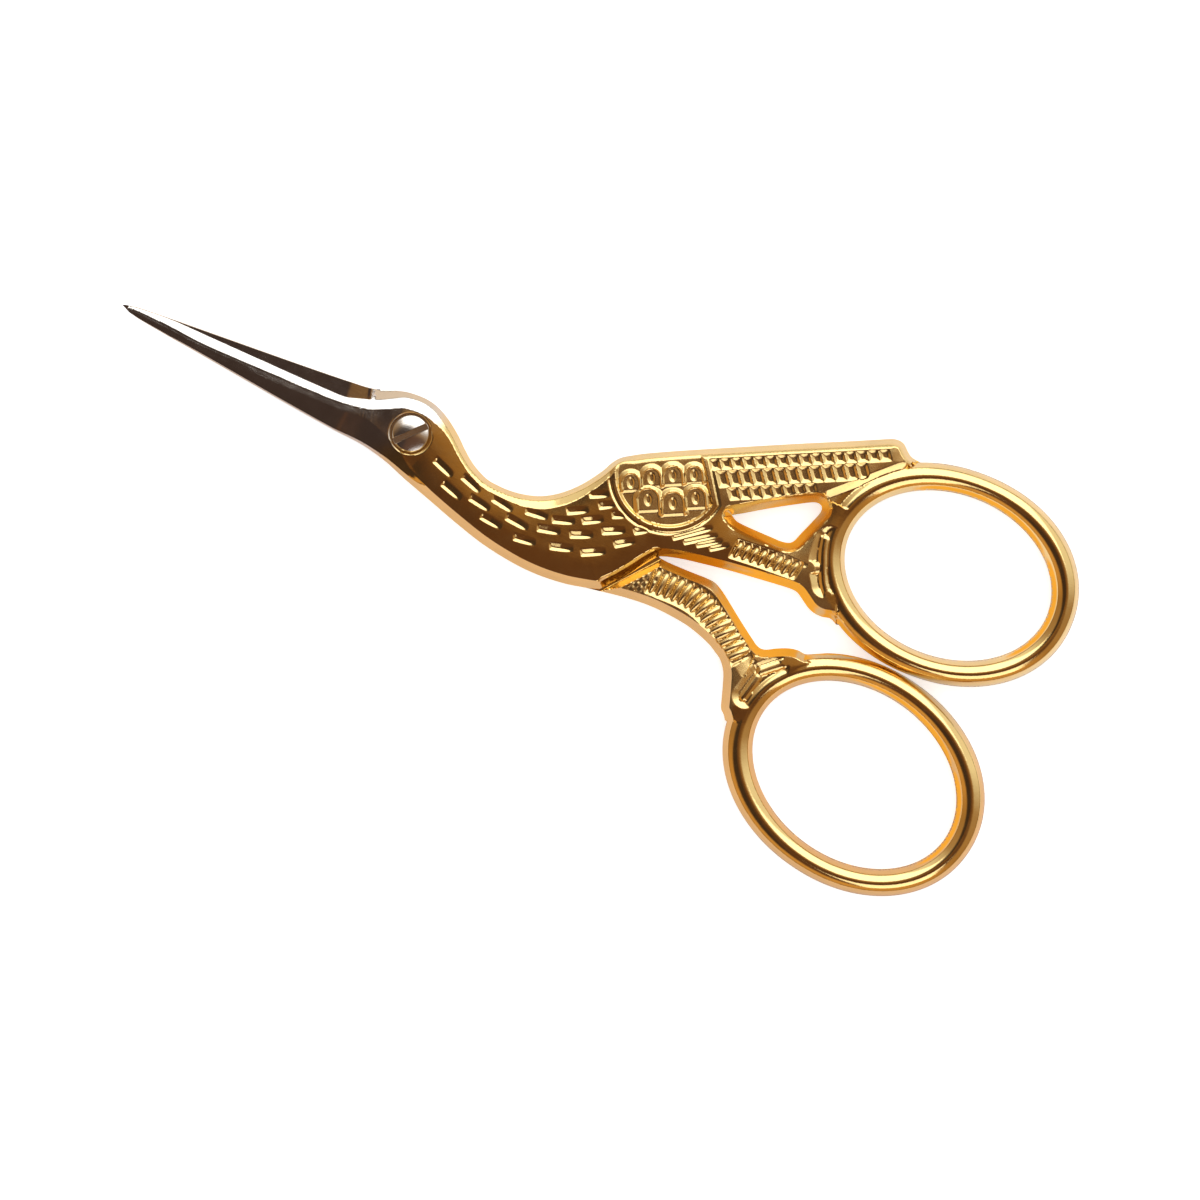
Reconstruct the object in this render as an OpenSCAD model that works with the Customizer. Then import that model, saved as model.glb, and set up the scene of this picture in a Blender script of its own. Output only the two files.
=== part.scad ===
// Stork embroidery scissors: two drop-forged halves, half-lapped at the body, on one slotted pivot screw.
// Millimetres. The scissors lie flat and closed: tips towards -X, finger bows towards +X, the bird's
// back towards +Y, the front face up. The origin is on the pivot axis, in the plane the scissors lie on.

/* [Forging] */
// Thickness of each half where the two lie over each other
half_t = 1.5; // [1.2:0.1:2]
// Width of the drafted side wall, seen from above
wall_w = 0.5; // [0.3:0.05:0.7]
// Height of the drafted side wall above the parting plane
wall_h = 0.95; // [0.6:0.05:1.1]
// Width of the small bevel between side wall and face
edge_bevel = 0.25; // [0.15:0.05:0.4]
// Gap between the two lapped faces
lap_gap = 0.02; // [0.02:0.01:0.1]
// Gap where one half's edge lies beside the other half's step
step_gap = 0.15; // [0.1:0.05:0.3]

/* [Blades] */
// Reach of the front blade from the pivot
blade_reach = 27.9; // [22:0.1:36]
// How far the back blade's tip leads the front one
tip_lead = 0.6; // [0.3:0.1:1]
// Width of a blade at its root
blade_w = 4.7; // [4.4:0.1:5]
// Width of a blade at its tip
tip_w = 0.35; // [0.25:0.05:0.6]
// Thickness of a blade at its tip
tip_t = 0.4; // [0.3:0.05:0.7]
// Width of the ground flank that runs down to the cutting edge, at the root
ground_w = 1.25; // [0.9:0.05:1.6]
// Width of the polished middle facet
facet_w = 0.75; // [0.5:0.05:0.9]
// Depth of the hollow ground into the inner face of each blade
hollow = 0.06; // [0.03:0.01:0.1]

/* [Pivot screw] */
// Diameter of the screw head
head_d = 3.4; // [2.8:0.1:3.5]
// Height of the screw head, without its dome
head_h = 0.8; // [0.6:0.05:0.9]
// Rise of the head's dome above the front face
dome = 0.12; // [0.05:0.01:0.2]
// Diameter of the shoulder that the front half turns on
shoulder_d = 2.2; // [2:0.1:2.6]
// Running clearance round the shoulder
run_gap = 0.03; // [0.02:0.01:0.08]
// Clearance round the head in its seat
seat_gap = 0.15; // [0.1:0.05:0.2]
// Diameter of the threaded end, which holds in the back half
thread_d = 1.8; // [1.4:0.1:1.9]
// Width of the screwdriver slot
slot_w = 0.5; // [0.4:0.05:0.7]
// Depth of the screwdriver slot
slot_h = 0.4; // [0.25:0.05:0.5]

/* [Finger bows] */
// Inner length and width of the upper bow, which belongs to the front half
upper_bow = [19.16, 14.6];
// Inner length and width of the lower bow, which belongs to the back half
lower_bow = [19.9, 15.06];
// Width of a bow's band at its far end
band_end = 2.5; // [2:0.1:3]
// Width of a bow's band at its sides
band_side = 2.4; // [2:0.1:3]
// Gap between the two bows when the scissors are closed
bow_gap = 0.12; // [0.08:0.02:0.3]

/* [Struck relief] */
// Depth of the wing field round its scales
wing_deep = 0.2; // [0.1:0.05:0.3]
// Radius of the wing's round border
wing_r = 4.6; // [4.2:0.1:4.8]
// Depth of the feather rows on the tail
tail_deep = 0.22; // [0.1:0.02:0.3]
// Depth of the grooves between the ribs on shank and leg
rib_deep = 0.2; // [0.1:0.05:0.3]
// Distance from rib to rib on the leg
leg_rib = 0.73; // [0.6:0.01:1]
// Distance from rib to rib on the shank
shank_rib = 0.77; // [0.6:0.01:1]
// Width of the ridges in the two gussets
ridge_w = 0.36; // [0.25:0.01:0.5]

/* [Hidden] */
$fn = 64;
steel = [0.78, 0.77, 0.74];
gold = [0.86, 0.64, 0.28];

full_t = 2 * half_t;
head_seat_d = head_d + 2 * seat_gap;
blade_mid = -0.43;        // the blades' middle line lies a little below the pivot
blade_root = -5.5;        // where the blades swell into the head
meet_y = -0.88;           // the line on which the bows meet
bow_start = 39.6;         // inner near end of the bows
upper_tilt = 3.5;
lower_tilt = -11.4;
slot_turn = 49;           // turn of the screwdriver slot, as it happens to stand
section_pts = 12;         // points round a bow's section
bow_relief = 0.03;        // how much flatter a bow is than the faces beside it, as a share
bow_steps = 48;           // sections round a bow

// Half height of a tilted oval
function reach_y(a, b, tilt) = sqrt(pow(a * sin(tilt), 2) + pow(b * cos(tilt), 2));

upper_outer = upper_bow / 2 + [band_end, band_side];
lower_outer = lower_bow / 2 + [band_end, band_side];
upper_c = [bow_start + upper_bow.x / 2,
           meet_y + bow_gap / 2 + reach_y(upper_outer.x, upper_outer.y, upper_tilt)];
lower_c = [bow_start - 0.3 + lower_bow.x / 2,
           meet_y - bow_gap / 2 - reach_y(lower_outer.x, lower_outer.y, lower_tilt)];

// The outlines of tail, shank, web and leg are drawn for bows that start at x = 39.6. Past x = 28 they run out
// with the bows when these move.
function run_out(x) = x + (bow_start - 39.6) * min(1, max(0, (x - 28) / 11.6));
function rows_out(rows) = [for (r = rows) [run_out(r[0]), r[1], run_out(r[2]), r[3]]];
function line_out(p) = [for (q = p) [run_out(q[0]), q[1]]];

// A smooth curve through rows of numbers, n steps to a span
function curve_at(p, i, t) =
    let (a = p[max(i - 1, 0)], b = p[i], c = p[i + 1], d = p[min(i + 2, len(p) - 1)])
    b + 0.5 * t * ((c - a) + t * ((2 * a - 5 * b + 4 * c - d) + t * (3 * (b - c) + d - a)));
function curve(p, n) = concat([for (i = [0:len(p) - 2], k = [0:n - 1]) curve_at(p, i, k / n)], [p[len(p) - 1]]);

function unit(v) = v / norm(v);
function side(v) = [v.y, -v.x];
// Inward direction at point i of a chain, lengthened at a corner so that the wall keeps its width
function inward(p, i, s) =
    let (n = len(p) - 1,
         u = unit(p[min(i + 1, n)] - p[min(i, n - 1)]),
         v = unit(p[max(i, 1)] - p[max(i - 1, 0)]),
         m = unit(side(u) + side(v)))
    s * m / max(0.75, m * side(u));

// A forging lofted across stations. A station is
// [back x, back y, belly x, belly y, wall and bevel width at the back, the same at the belly,
//  wall height at the back, the same at the belly, half thickness].
module forging(stations) {
    n = len(stations);
    back = [for (s = stations) [s[0], s[1]]];
    belly = [for (s = stations) [s[2], s[3]]];
    rings = [for (i = [0:n - 1])
        let (s = stations[i], u = inward(back, i, 1), v = inward(belly, i, -1),
             u1 = back[i] + u * s[4], u2 = u1 + u * s[5],
             v1 = belly[i] + v * s[6], v2 = v1 + v * s[7])
        [[back[i], 0], [u1, s[8]], [u2, s[10]], [v2, s[10]], [v1, s[9]],
         [belly[i], 0], [v1, -s[9]], [v2, -s[10]], [u2, -s[10]], [u1, -s[8]]]];
    pts = [for (r = rings, q = r) [q[0].x, q[0].y, half_t + q[1]]];
    m = len(rings[0]);
    walls = [for (i = [0:n - 2], j = [0:m - 1])
        let (a = i * m + j, b = i * m + (j + 1) % m) each [[a, a + m, b + m], [a, b + m, b]]];
    caps = [for (j = [1:m - 2]) each [[0, j, j + 1], [(n - 1) * m, (n - 1) * m + j + 1, (n - 1) * m + j]]];
    polyhedron(pts, concat(walls, caps));
}

// Stations with the plain wall and bevel, from pairs of back and belly points
function plain(rows) = [for (r = rows) [each r, wall_w, edge_bevel, wall_w, edge_bevel, wall_h, wall_h, half_t]];

// Oval bow of a rounded section with narrow flats at its sides, top and bottom
function rounded(c) = sign(c) * pow(abs(c) / cos(180 / section_pts), 0.8);
module bow(c, inner, outer, tilt) {
    pts = [for (i = [0:bow_steps - 1], j = [0:section_pts - 1])
        let (t = 360 * i / bow_steps, f = 360 * (j + 0.5) / section_pts,
             k = 0.5 + 0.5 * rounded(cos(f)), h = (1 - bow_relief) * rounded(sin(f)),
             x = (inner.x + (outer.x - inner.x) * k) * cos(t),
             y = (inner.y + (outer.y - inner.y) * k) * sin(t))
        [c.x + x * cos(tilt) - y * sin(tilt), c.y + x * sin(tilt) + y * cos(tilt), half_t * (1 + h)]];
    n = bow_steps * section_pts;
    polyhedron(pts, [for (i = [0:bow_steps - 1], j = [0:section_pts - 1])
        let (a = i * section_pts + j, b = i * section_pts + (j + 1) % section_pts,
             c = (b + section_pts) % n, d = (a + section_pts) % n)
        each [[a, b, c], [a, c, d]]]);
}

// Blade stations from the root to the tip: the cutting edge is at the back on the front blade (cut = 1)
// and at the belly on the back blade (cut = -1).
function blade_station(x, tip, cut) =
    let (f = (x - blade_root) / (tip - blade_root),
         w = blade_w + (tip_w - blade_w) * f,
         t = 0.9 * half_t + (tip_t - 0.9 * half_t) * f,
         k = min(1, w / 2.2),
         ground = max(0.12 * w, ground_w * (1 - 1.25 * f)),
         facet = facet_w * k * (0.95 - 0.2 * f),
         spine = 0.1 * k,
         flank = w - ground - facet - spine - 0.04,
         low = blade_mid - w / 2, high = blade_mid + w / 2)
    cut > 0 ? [x, high, x, low, ground, facet, spine, flank, 0.78 * t, 0.5 * t, t]
            : [x, high, x, low, spine, flank, ground, facet, 0.5 * t, 0.78 * t, t];
function blade(tip, cut) = [for (f = [1, 0.96, 0.8, 0.6, 0.4, 0.2, 0])
    blade_station(blade_root + (tip - blade_root) * f, tip, cut)];

// Head and neck: the wide bevel of the blade runs on over the head and down the back of the neck
head_and_neck = curve([
    [-4,   2.55, -4,   -2.75, 0.95, 0.9,  0.3,    1.2,        1.1,    0.8,    0.97 * half_t],
    [-2,   3.25, -2,   -3.0,  0.55, 1.0,  0.45,   0.5,        wall_h, wall_h, half_t],
    [0,    3.43, 0,    -3.56, 0.42, 1.05, wall_w, edge_bevel, wall_h, wall_h, half_t],
    [2,    2.87, 2,    -4.15, 0.45, 0.8,  wall_w, edge_bevel, wall_h, wall_h, half_t],
    [4,    1.59, 4,    -4.71, 0.45, 0.4,  wall_w, edge_bevel, wall_h, wall_h, half_t],
    [6,    0.04, 6,    -5.25, 0.42, 0.4,  wall_w, edge_bevel, wall_h, wall_h, half_t],
    [8,   -0.82, 8,    -5.83, 0.42, 0.45, wall_w, edge_bevel, wall_h, wall_h, half_t],
    [10,  -0.88, 10,   -6.26, 0.42, 0.55, wall_w, edge_bevel, wall_h, wall_h, half_t],
    [12,  -0.5,  12,   -6.55, 0.42, 0.8,  wall_w, edge_bevel, wall_h, wall_h, half_t],
    [14,   0.53, 14.5, -6.7,  0.42, 0.8,  wall_w, edge_bevel, wall_h, wall_h, half_t],
    [16,   2.62, 17,   -6.55, 0.42, 0.5,  wall_w, edge_bevel, wall_h, wall_h, half_t],
    [17.9, 5.95, 19.8, -6.0,  0.45, 0.3,  wall_w, edge_bevel, wall_h, wall_h, half_t]], 3);

// Wing and belly, from the shoulder of the wing to the crotch of the tail
wing_rows = curve([
    [17.9, 5.95, 19.8, -6.0],
    [20,   7.38, 21.4, -5.1],
    [22.3, 8.72, 22.9, -3.3],
    [24.3, 9.79, 24,   -1.6],
    [25.7, 10.55, 24.8, -0.68],
    [26.7, 11.1, 25.7, -0.24],
    [27.6, 11.58, 26.9, 0.07]], 2);

// Tail, along the bird's back to the corner beside the upper bow
tail_rows = rows_out([
    [24.5,  9.9,  26.6,  3.65],
    [28,   11.81, 29.4,  5.65],
    [32,   13.93, 31.8,  7.38],
    [36,   16.07, 34.2,  8.97],
    [39.6, 17.95, 36.4, 10.2]]);
tail = plain(concat(
    curve(tail_rows, 2),
    rows_out([[40.5, 18.05, 37.9, 12],
              [41.6, 17.2, 39.4, 13.9],
              [42.3, 17.05, 40.2, 14.8]])));

// Shank of the front half, under the three-cornered opening
shank_rows = curve(rows_out([
    [24.5, 5.35, 25.6, -0.27],
    [28,   5.3,  28,    0.35],
    [31,   5.22, 31,    0.95],
    [34,   5.3,  34,    1.45],
    [35.6, 5.6,  36,    1.72],
    [37,   6.2,  37.3,  1.78],
    [38.4, 6.4,  38.6,  1.15],
    [39.6, 6,    39.8,  0.7],
    [40.6, 5,    41.2,  0.9],
    [41.8, 3.9,  43.2,  0.15]]), 2);

// Web between the opening and the upper bow
web = plain(curve(rows_out([
    [35.4, 4.6,  40.4,  4.2],
    [35.9, 7,    39.3,  6.6],
    [36.5, 9.5,  39.1, 10],
    [37.3, 11.6, 39.9, 12.9]]), 3));

// Leg of the back half, from the belly to the lower bow
leg_rows = curve(rows_out([
    [19,   -2.5,  19,   -6.25],
    [22,   -1.2,  22,   -5.5],
    [25,   -0.78, 25,   -5.03],
    [28,   -0.62, 28,   -4.96],
    [30.6, -0.62, 30.6, -5.3],
    [33,   -2.06, 32.6, -6.0],
    [35,   -3.37, 34,   -6.85],
    [36.7, -4.2,  35,   -8.75],
    [38.2, -3.45, 35.7, -10.6],
    [39.8, -2.93, 36.6, -12]]), 3);

// Line of the step on the back, where the back half's lap ends against the front half's wing
wing_step = [[17.4, 6.2], [25.1, -0.5]];
// Line of the step on the front, where the front half's belly ends against the back half's leg
leg_step = [[21.4, -5.1], [24.7, -0.75]];
step_lean = 0.5;          // draft of the leg's step

// The space left of the line from p to q, from height z0 to z1, pushed right by shift at z0 and by
// shift + lean at z1
module left_of(p, q, shift, lean, z0, z1) {
    d = unit(q - p);
    module slab(s, z) {
        a = p - 80 * d + s * side(d);
        b = q + 80 * d + s * side(d);
        translate([0, 0, z]) linear_extrude(0.01)
            polygon([a, b, b - 150 * side(d), a - 150 * side(d)]);
    }
    hull() {
        slab(shift, min(z0, z1));
        slab(shift + lean, max(z0, z1) - 0.01);
    }
}

// Shallow hollow along the inner face of a blade. It fades out before the tip. Up is 1 on the front blade.
module hollow_ground(up) {
    r = 18;
    reach = 0.85 * blade_reach;
    fade = atan(hollow / (reach - 6));
    translate([-reach, blade_mid, half_t + up * (lap_gap / 2 - r)])
        rotate([0, 90 - up * fade, 0])
            cylinder(r = r, h = reach - 6, $fn = 96);
}

// Relief struck into the front face and, turned over, into the back face
module both_faces() {
    children();
    translate([0, 0, full_t]) mirror([0, 0, 1]) children();
}

// A sunk field, cut down from the face to a depth
module sunk(deep) translate([0, 0, full_t - deep]) linear_extrude(deep + 1) children();

// Strip of a width along a line
function beside(p, s) = [for (i = [0:len(p) - 1]) p[i] + inward(p, i, s)];
module strip(p, w) polygon(concat(beside(p, w / 2), [for (i = [len(p) - 1:-1:0]) beside(p, -w / 2)[i]]));

// Tail: rows of overlapping feathers under the back, each a saw-toothed run. A row is how far it lies below
// the bird's back, its width, where it starts along the tail, its pitch and how much of the tail it leaves free.
tail_turn = atan2(tail_rows[4][1] - tail_rows[0][1], tail_rows[4][0] - tail_rows[0][0]);
tail_len = norm([tail_rows[4][0] - tail_rows[0][0], tail_rows[4][1] - tail_rows[0][1]]);
function tail_at(s, q) = [tail_rows[0][0] + s * cos(tail_turn) + q * sin(tail_turn),
                          tail_rows[0][1] + s * sin(tail_turn) - q * cos(tail_turn)];
row_start = 0.05;         // where the first feather of the upper row starts
feather_rows = [[1.1, 0.9, row_start, 1.02, 0], [2.2, 1.05, row_start + 0.7, 1.04, 3.9],
                [3.6, 0.95, row_start + 1.1, 0.99, 9]];
tooth_back = 0.3;         // where a feather is deepest, as a share of its length
module feather_row(r) {
    n = round((tail_len - r[2] - r[4]) / r[3]);
    translate(tail_at(r[2], r[0])) rotate(tail_turn)
        translate([0, 0, full_t]) rotate([90, 0, 0]) linear_extrude(r[1]) polygon(concat(
            [[0, 1]],
            [for (i = [0:n - 1]) each [[i * r[3], -0.04], [(i + tooth_back) * r[3], -tail_deep]]],
            [[n * r[3], -0.04], [n * r[3], 1]]));
}

// Wing: a field inside a round border, the back's bevel and the tail, with two rows of scales left standing
// in it. A scale is an arch across the tail's line with a ring inside it; the lower row lies over the upper one.
// Each is given by its middle and the radius of its arch.
wing_c = [22.55, 6.5];
wing_margin = wall_w + edge_bevel + 0.3;
wing_lean = 12;           // turn of the wing's border against the feather rows
upper_scales = [[19.75, 4.4, 0.78], [21.3, 5.55, 0.8], [22.9, 6.55, 0.82], [24.6, 7.4, 0.72]];
lower_scales = [[21.8, 3.6, 0.98], [23.95, 4.25, 0.98], [25.65, 5.6, 0.85]];
scale_band = 0.32;        // width of a scale's arch
scale_len = 1.2;          // length of a scale's legs, as a share of the arch's radius
scale_eye = 0.42;         // radius of the ring inside a scale
module scale_shape(s, grow, len) translate([s[0], s[1]]) rotate(tail_turn) {
    r = s[2] + grow;
    circle(r = r, $fn = 16);
    translate([-r, -len]) square([2 * r, len]);
}
module arches(scales) for (s = scales) {
    difference() {
        scale_shape(s, scale_band / 2, scale_len * s[2]);
        scale_shape(s, -scale_band / 2, 2 * scale_len * s[2]);
    }
    translate([s[0], s[1]]) difference() {
        circle(r = scale_eye, $fn = 12);
        circle(r = scale_eye / 2, $fn = 8);
    }
}
module wing_field() intersection() {
    translate(wing_c) circle(r = wing_r, $fn = 48);
    polygon(concat(beside([for (r = wing_rows) [r[0], r[1]]], wing_margin),
                   [wing_c + [8, -8], wing_c - [8, 8]]));
    translate(tail_at(row_start, feather_rows[0][0])) rotate(tail_turn + wing_lean)
        translate([-20.3, -20]) square([20, 40]);
}
module wing() sunk(wing_deep) difference() {
    wing_field();
    arches(lower_scales);
    difference() {
        arches(upper_scales);
        for (s = lower_scales) scale_shape(s, 0, scale_len * s[2]);
    }
}

// Ribs: grooves across a shank or leg, along the middle of its rows
function row_mid(rows) = [for (r = rows) [(r[0] + r[2]) / 2, (r[1] + r[3]) / 2]];
function row_turn(rows) = [for (r = rows) [(r[0] + r[2]) / 2, atan2(r[1] - r[3], r[0] - r[2])]];
function row_width(rows) = [for (r = rows) [(r[0] + r[2]) / 2, norm([r[0] - r[2], r[1] - r[3]])]];
rib_margin = wall_w + edge_bevel + 0.3;
shank_ribs = [30.75, run_out(36.15)];  // where the ribs begin and end
leg_ribs = [25.8, run_out(34.6)];
module rib_grooves(rows, ends, pitch) {
    from = ends.x;
    count = round((ends.y - ends.x) / pitch);
    wide = 0.62 * pitch;
    for (i = [0:count]) {
        x = from + i * pitch;
        translate([x, lookup(x, row_mid(rows)), full_t]) rotate([90, 0, 90 + lookup(x, row_turn(rows))])
            linear_extrude(lookup(x, row_width(rows)) - 2 * rib_margin, center = true)
                polygon([[-wide / 2, 0.02], [-wide / 2, 1], [wide / 2, 1], [wide / 2, 0.02], [0, -rib_deep]]);
    }
}

// Long strokes where the belly runs into the shank
belly_strokes = [[[25.4, 1.45], [28.2, 3.8]], [[26.45, 1.5], [28.9, 3.35]], [[27.6, 1.75], [29.5, 3.1]]];
stroke_w = 0.35;

// Gussets: a sunk field with a ridge along its middle, where shank and leg run into the bows
front_ridge = line_out([[37.75, 7.1], [38.1, 6], [38.55, 5], [39.2, 3.7]]);
back_arm = line_out([[38.8, -4.7], [38.1, -5.4], [37.4, -6.1]]);
back_stem = line_out([[37.5, -6.6], [37.3, -7.6], [37.05, -8.6]]);
gusset_w = 1.5;
gusset_deep = 0.15;
function run_on(p) = let (n = len(p) - 1)
    concat([2 * p[0] - p[1]], [for (i = [1:n - 1]) p[i]], [2 * p[n] - p[n - 1]]);
module gusset(lines) sunk(gusset_deep) difference() {
    for (p = lines) strip(p, gusset_w);
    for (p = lines) strip(run_on(p), ridge_w);
}

module lap_body(tip, cut) {
    forging(concat(blade(tip, cut), head_and_neck));
    forging(plain(wing_rows));
}

module front_half() color(gold) difference() {
    union() {
        lap_body(-blade_reach, 1);
        forging(tail);
        forging(plain(shank_rows));
        forging(web);
        bow(upper_c, upper_bow / 2, upper_outer, upper_tilt);
    }
    left_of(wing_step[1], wing_step[0], 0, 0, -1, half_t + lap_gap / 2);
    hollow_ground(1);
    translate([0, 0, -1]) cylinder(d = shoulder_d + 2 * run_gap, h = full_t + 2);
    translate([0, 0, full_t - head_h]) cylinder(d = head_seat_d, h = head_h + 1);
    translate([0, 0, full_t - 0.1]) cylinder(d1 = head_seat_d, d2 = head_seat_d + 0.3, h = 0.15);
    both_faces() {
        wing();
        for (r = feather_rows) feather_row(r);
        rib_grooves(shank_rows, shank_ribs, shank_rib);
        sunk(rib_deep / 2) for (p = belly_strokes) strip(p, stroke_w);
        gusset([front_ridge]);
    }
}

module back_half() color(gold) difference() {
    union() {
        difference() {
            lap_body(-blade_reach - tip_lead, -1);
            left_of(wing_step[0], wing_step[1], step_gap, 0, -1, full_t + 1);
        }
        forging(plain(leg_rows));
        bow(lower_c, lower_bow / 2, lower_outer, lower_tilt);
    }
    left_of(leg_step[0], leg_step[1], 2 * step_gap, step_lean, half_t - lap_gap / 2, full_t + 1);
    hollow_ground(-1);
    translate([0, 0, -1]) cylinder(d = thread_d, h = full_t + 2);
    both_faces() {
        wing();
        rib_grooves(leg_rows, leg_ribs, leg_rib);
        gusset([back_arm, back_stem]);
    }
}

module pivot_screw() color(steel) {
    under_head = full_t - head_h + lap_gap;
    foot = half_t - lap_gap / 2;                     // the shoulder stands on the back half
    ball_r = (pow(head_d / 2, 2) + dome * dome) / (2 * dome);
    translate([0, 0, 0.1]) cylinder(d = thread_d, h = half_t);
    translate([0, 0, foot]) cylinder(d = shoulder_d, h = under_head + (head_h - slot_h) / 2 - foot);
    difference() {
        intersection() {
            translate([0, 0, under_head]) cylinder(d = head_d, h = head_h + dome);
            translate([0, 0, full_t + dome - ball_r]) sphere(r = ball_r);
        }
        rotate(slot_turn) translate([-head_d, -slot_w / 2, full_t + dome - slot_h])
            cube([2 * head_d, slot_w, slot_h + 1]);
    }
}

front_half();
back_half();
pivot_screw();
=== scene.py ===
# Stork embroidery scissors, dressed for the photograph: gilt steel halves with nickel blades, lying closed.
# Shapes are worked out in millimetres in the part's own frame and scaled to metres when a mesh is made.
# Tips point to -X, finger bows to +X, the bird's back to +Y and the front face to +Z.
import math
import bpy
import numpy as np
from mathutils.geometry import delaunay_2d_cdt
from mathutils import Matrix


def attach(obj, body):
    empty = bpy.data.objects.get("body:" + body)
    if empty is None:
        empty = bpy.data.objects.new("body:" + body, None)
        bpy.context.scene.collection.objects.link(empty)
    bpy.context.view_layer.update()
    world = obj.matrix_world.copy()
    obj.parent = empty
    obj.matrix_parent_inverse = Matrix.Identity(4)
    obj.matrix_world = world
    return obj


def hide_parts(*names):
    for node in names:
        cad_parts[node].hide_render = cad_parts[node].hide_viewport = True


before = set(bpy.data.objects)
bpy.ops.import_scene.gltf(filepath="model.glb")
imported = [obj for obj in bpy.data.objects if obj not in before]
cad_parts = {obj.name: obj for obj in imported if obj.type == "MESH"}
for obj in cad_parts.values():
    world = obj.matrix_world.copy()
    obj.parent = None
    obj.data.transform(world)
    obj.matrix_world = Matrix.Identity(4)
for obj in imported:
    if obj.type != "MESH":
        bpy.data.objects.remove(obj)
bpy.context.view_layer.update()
mm = 0.001
print("frame loaded")

# Shared measures
forging = {
    "half": 1.5,            # thickness of each lapped half, so the parting plane is at this height
    "gap": 0.01,            # half of the gap between the lapped faces
    "wall": 0.5,            # width of the drafted side wall seen from above
    "bevel": 0.25,          # width of the small bevel on top of it
    "wallHigh": 0.95,       # height of the wall above the parting plane
    "crease": 0.035,        # half width of a crease between two ground faces
    "lip": 0.06,            # width of the thin upright lip along a cutting edge
    "crown": 0.07,          # fall of a face towards its bevel
    "crownWide": 1.9,       # width over which a face falls
    "rowStep": 0.17,        # spacing of mesh points along an outline
    "fineStep": 0.088,      # spacing of mesh points over the chased faces
    "backStep": 0.118,      # the same over the back of the front half
    "lapStep": 0.5,         # spacing over the flat lapped faces
    "bowsFrom": 43.5,       # past this x nothing but the bows is left
    "batch": 4000,          # points measured at a time
}
half, gap = forging["half"], forging["gap"]


def unit(value):
    return np.clip(value, 0, 1)


# Curves and distances
def smoothRows(rows, step=forging["rowStep"]):
    # Catmull-Rom curve through rows of numbers whose first two are x and y, at even steps of length;
    # each span is b + t/2 (c-a) + t^2 (a - 5b/2 + 2c - d/2) + t^3 (3b - a - 3c + d)/2
    p = np.asarray(rows, float)
    q = np.vstack([2 * p[0] - p[1], p, 2 * p[-1] - p[-2]])      # with one more point beyond each end
    t = np.linspace(0, 1, 24, endpoint=False)[:, None]
    a, b, c, d = (q[i:len(q) - 3 + i, None, :] for i in range(4))
    fine = b + 0.5 * t * (c - a + t * (2 * a - 5 * b + 4 * c - d + t * (3 * (b - c) + d - a)))
    fine = np.vstack([fine.reshape(-1, p.shape[1]), p[-1]])
    return evenRows(fine, step)


def evenRows(rows, step):
    # the same line at even steps of length
    rows = np.asarray(rows, float)
    length = np.r_[0, np.cumsum(np.hypot(*np.diff(rows[:, :2], axis=0).T))]
    marks = np.linspace(0, length[-1], max(2, round(length[-1] / step) + 1))
    return np.column_stack([np.interp(marks, length, rows[:, k]) for k in range(rows.shape[1])])


def oval(bow, which, step=forging["rowStep"]):
    # tilted oval |x/a|^n + |y/b|^n = 1 round the bow's centre, anticlockwise
    cx, cy, a, b, tilt, n = bow[which]
    count = round(2 * math.pi * math.sqrt((a * a + b * b) / 2) / step)
    t = np.linspace(0, 2 * math.pi, count, endpoint=False)
    x = a * np.sign(np.cos(t)) * np.abs(np.cos(t)) ** (2 / n)
    y = b * np.sign(np.sin(t)) * np.abs(np.sin(t)) ** (2 / n)
    c, s = math.cos(math.radians(tilt)), math.sin(math.radians(tilt))
    return np.column_stack([cx + x * c - y * s, cy + x * s + y * c])


def nearest(xy, line, closed=False):
    # distance of each point to the line, and the line's other columns at the nearest place
    line = np.vstack([line, line[:1]]) if closed else line
    out = np.empty(len(xy))
    cols = np.empty((len(xy), line.shape[1] - 2))
    for start in range(0, len(xy), forging["batch"]):
        here = slice(start, start + forging["batch"])
        p = xy[here]
        near = np.argmin((p[:, :1] - line[:, 0]) ** 2 + (p[:, 1:2] - line[:, 1]) ** 2, axis=1)
        best, bestCols = np.full(len(p), 1e9), np.zeros((len(p), cols.shape[1]))
        for shift in (-1, 0):
            i = near + shift
            if closed:
                i = i % (len(line) - 1)
            i = np.clip(i, 0, len(line) - 2)
            a, b = line[i], line[i + 1]
            u = b[:, :2] - a[:, :2]
            f = unit(((p - a[:, :2]) * u).sum(1) / np.maximum((u * u).sum(1), 1e-12))
            d = np.hypot(*(a[:, :2] + f[:, None] * u - p).T)
            better = d < best
            best = np.where(better, d, best)
            bestCols = np.where(better[:, None], a[:, 2:] + f[:, None] * (b[:, 2:] - a[:, 2:]), bestCols)
        out[here], cols[here] = best, bestCols
    return out, cols


def normals(line, closed=False):
    # unit vectors to the right of the way the line runs
    if closed:
        t = np.roll(line[:, :2], -1, 0) - np.roll(line[:, :2], 1, 0)
    else:
        t = np.gradient(line[:, :2], axis=0)
    t = t / np.maximum(np.hypot(*t.T), 1e-9)[:, None]
    return np.column_stack([t[:, 1], -t[:, 0]])


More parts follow.
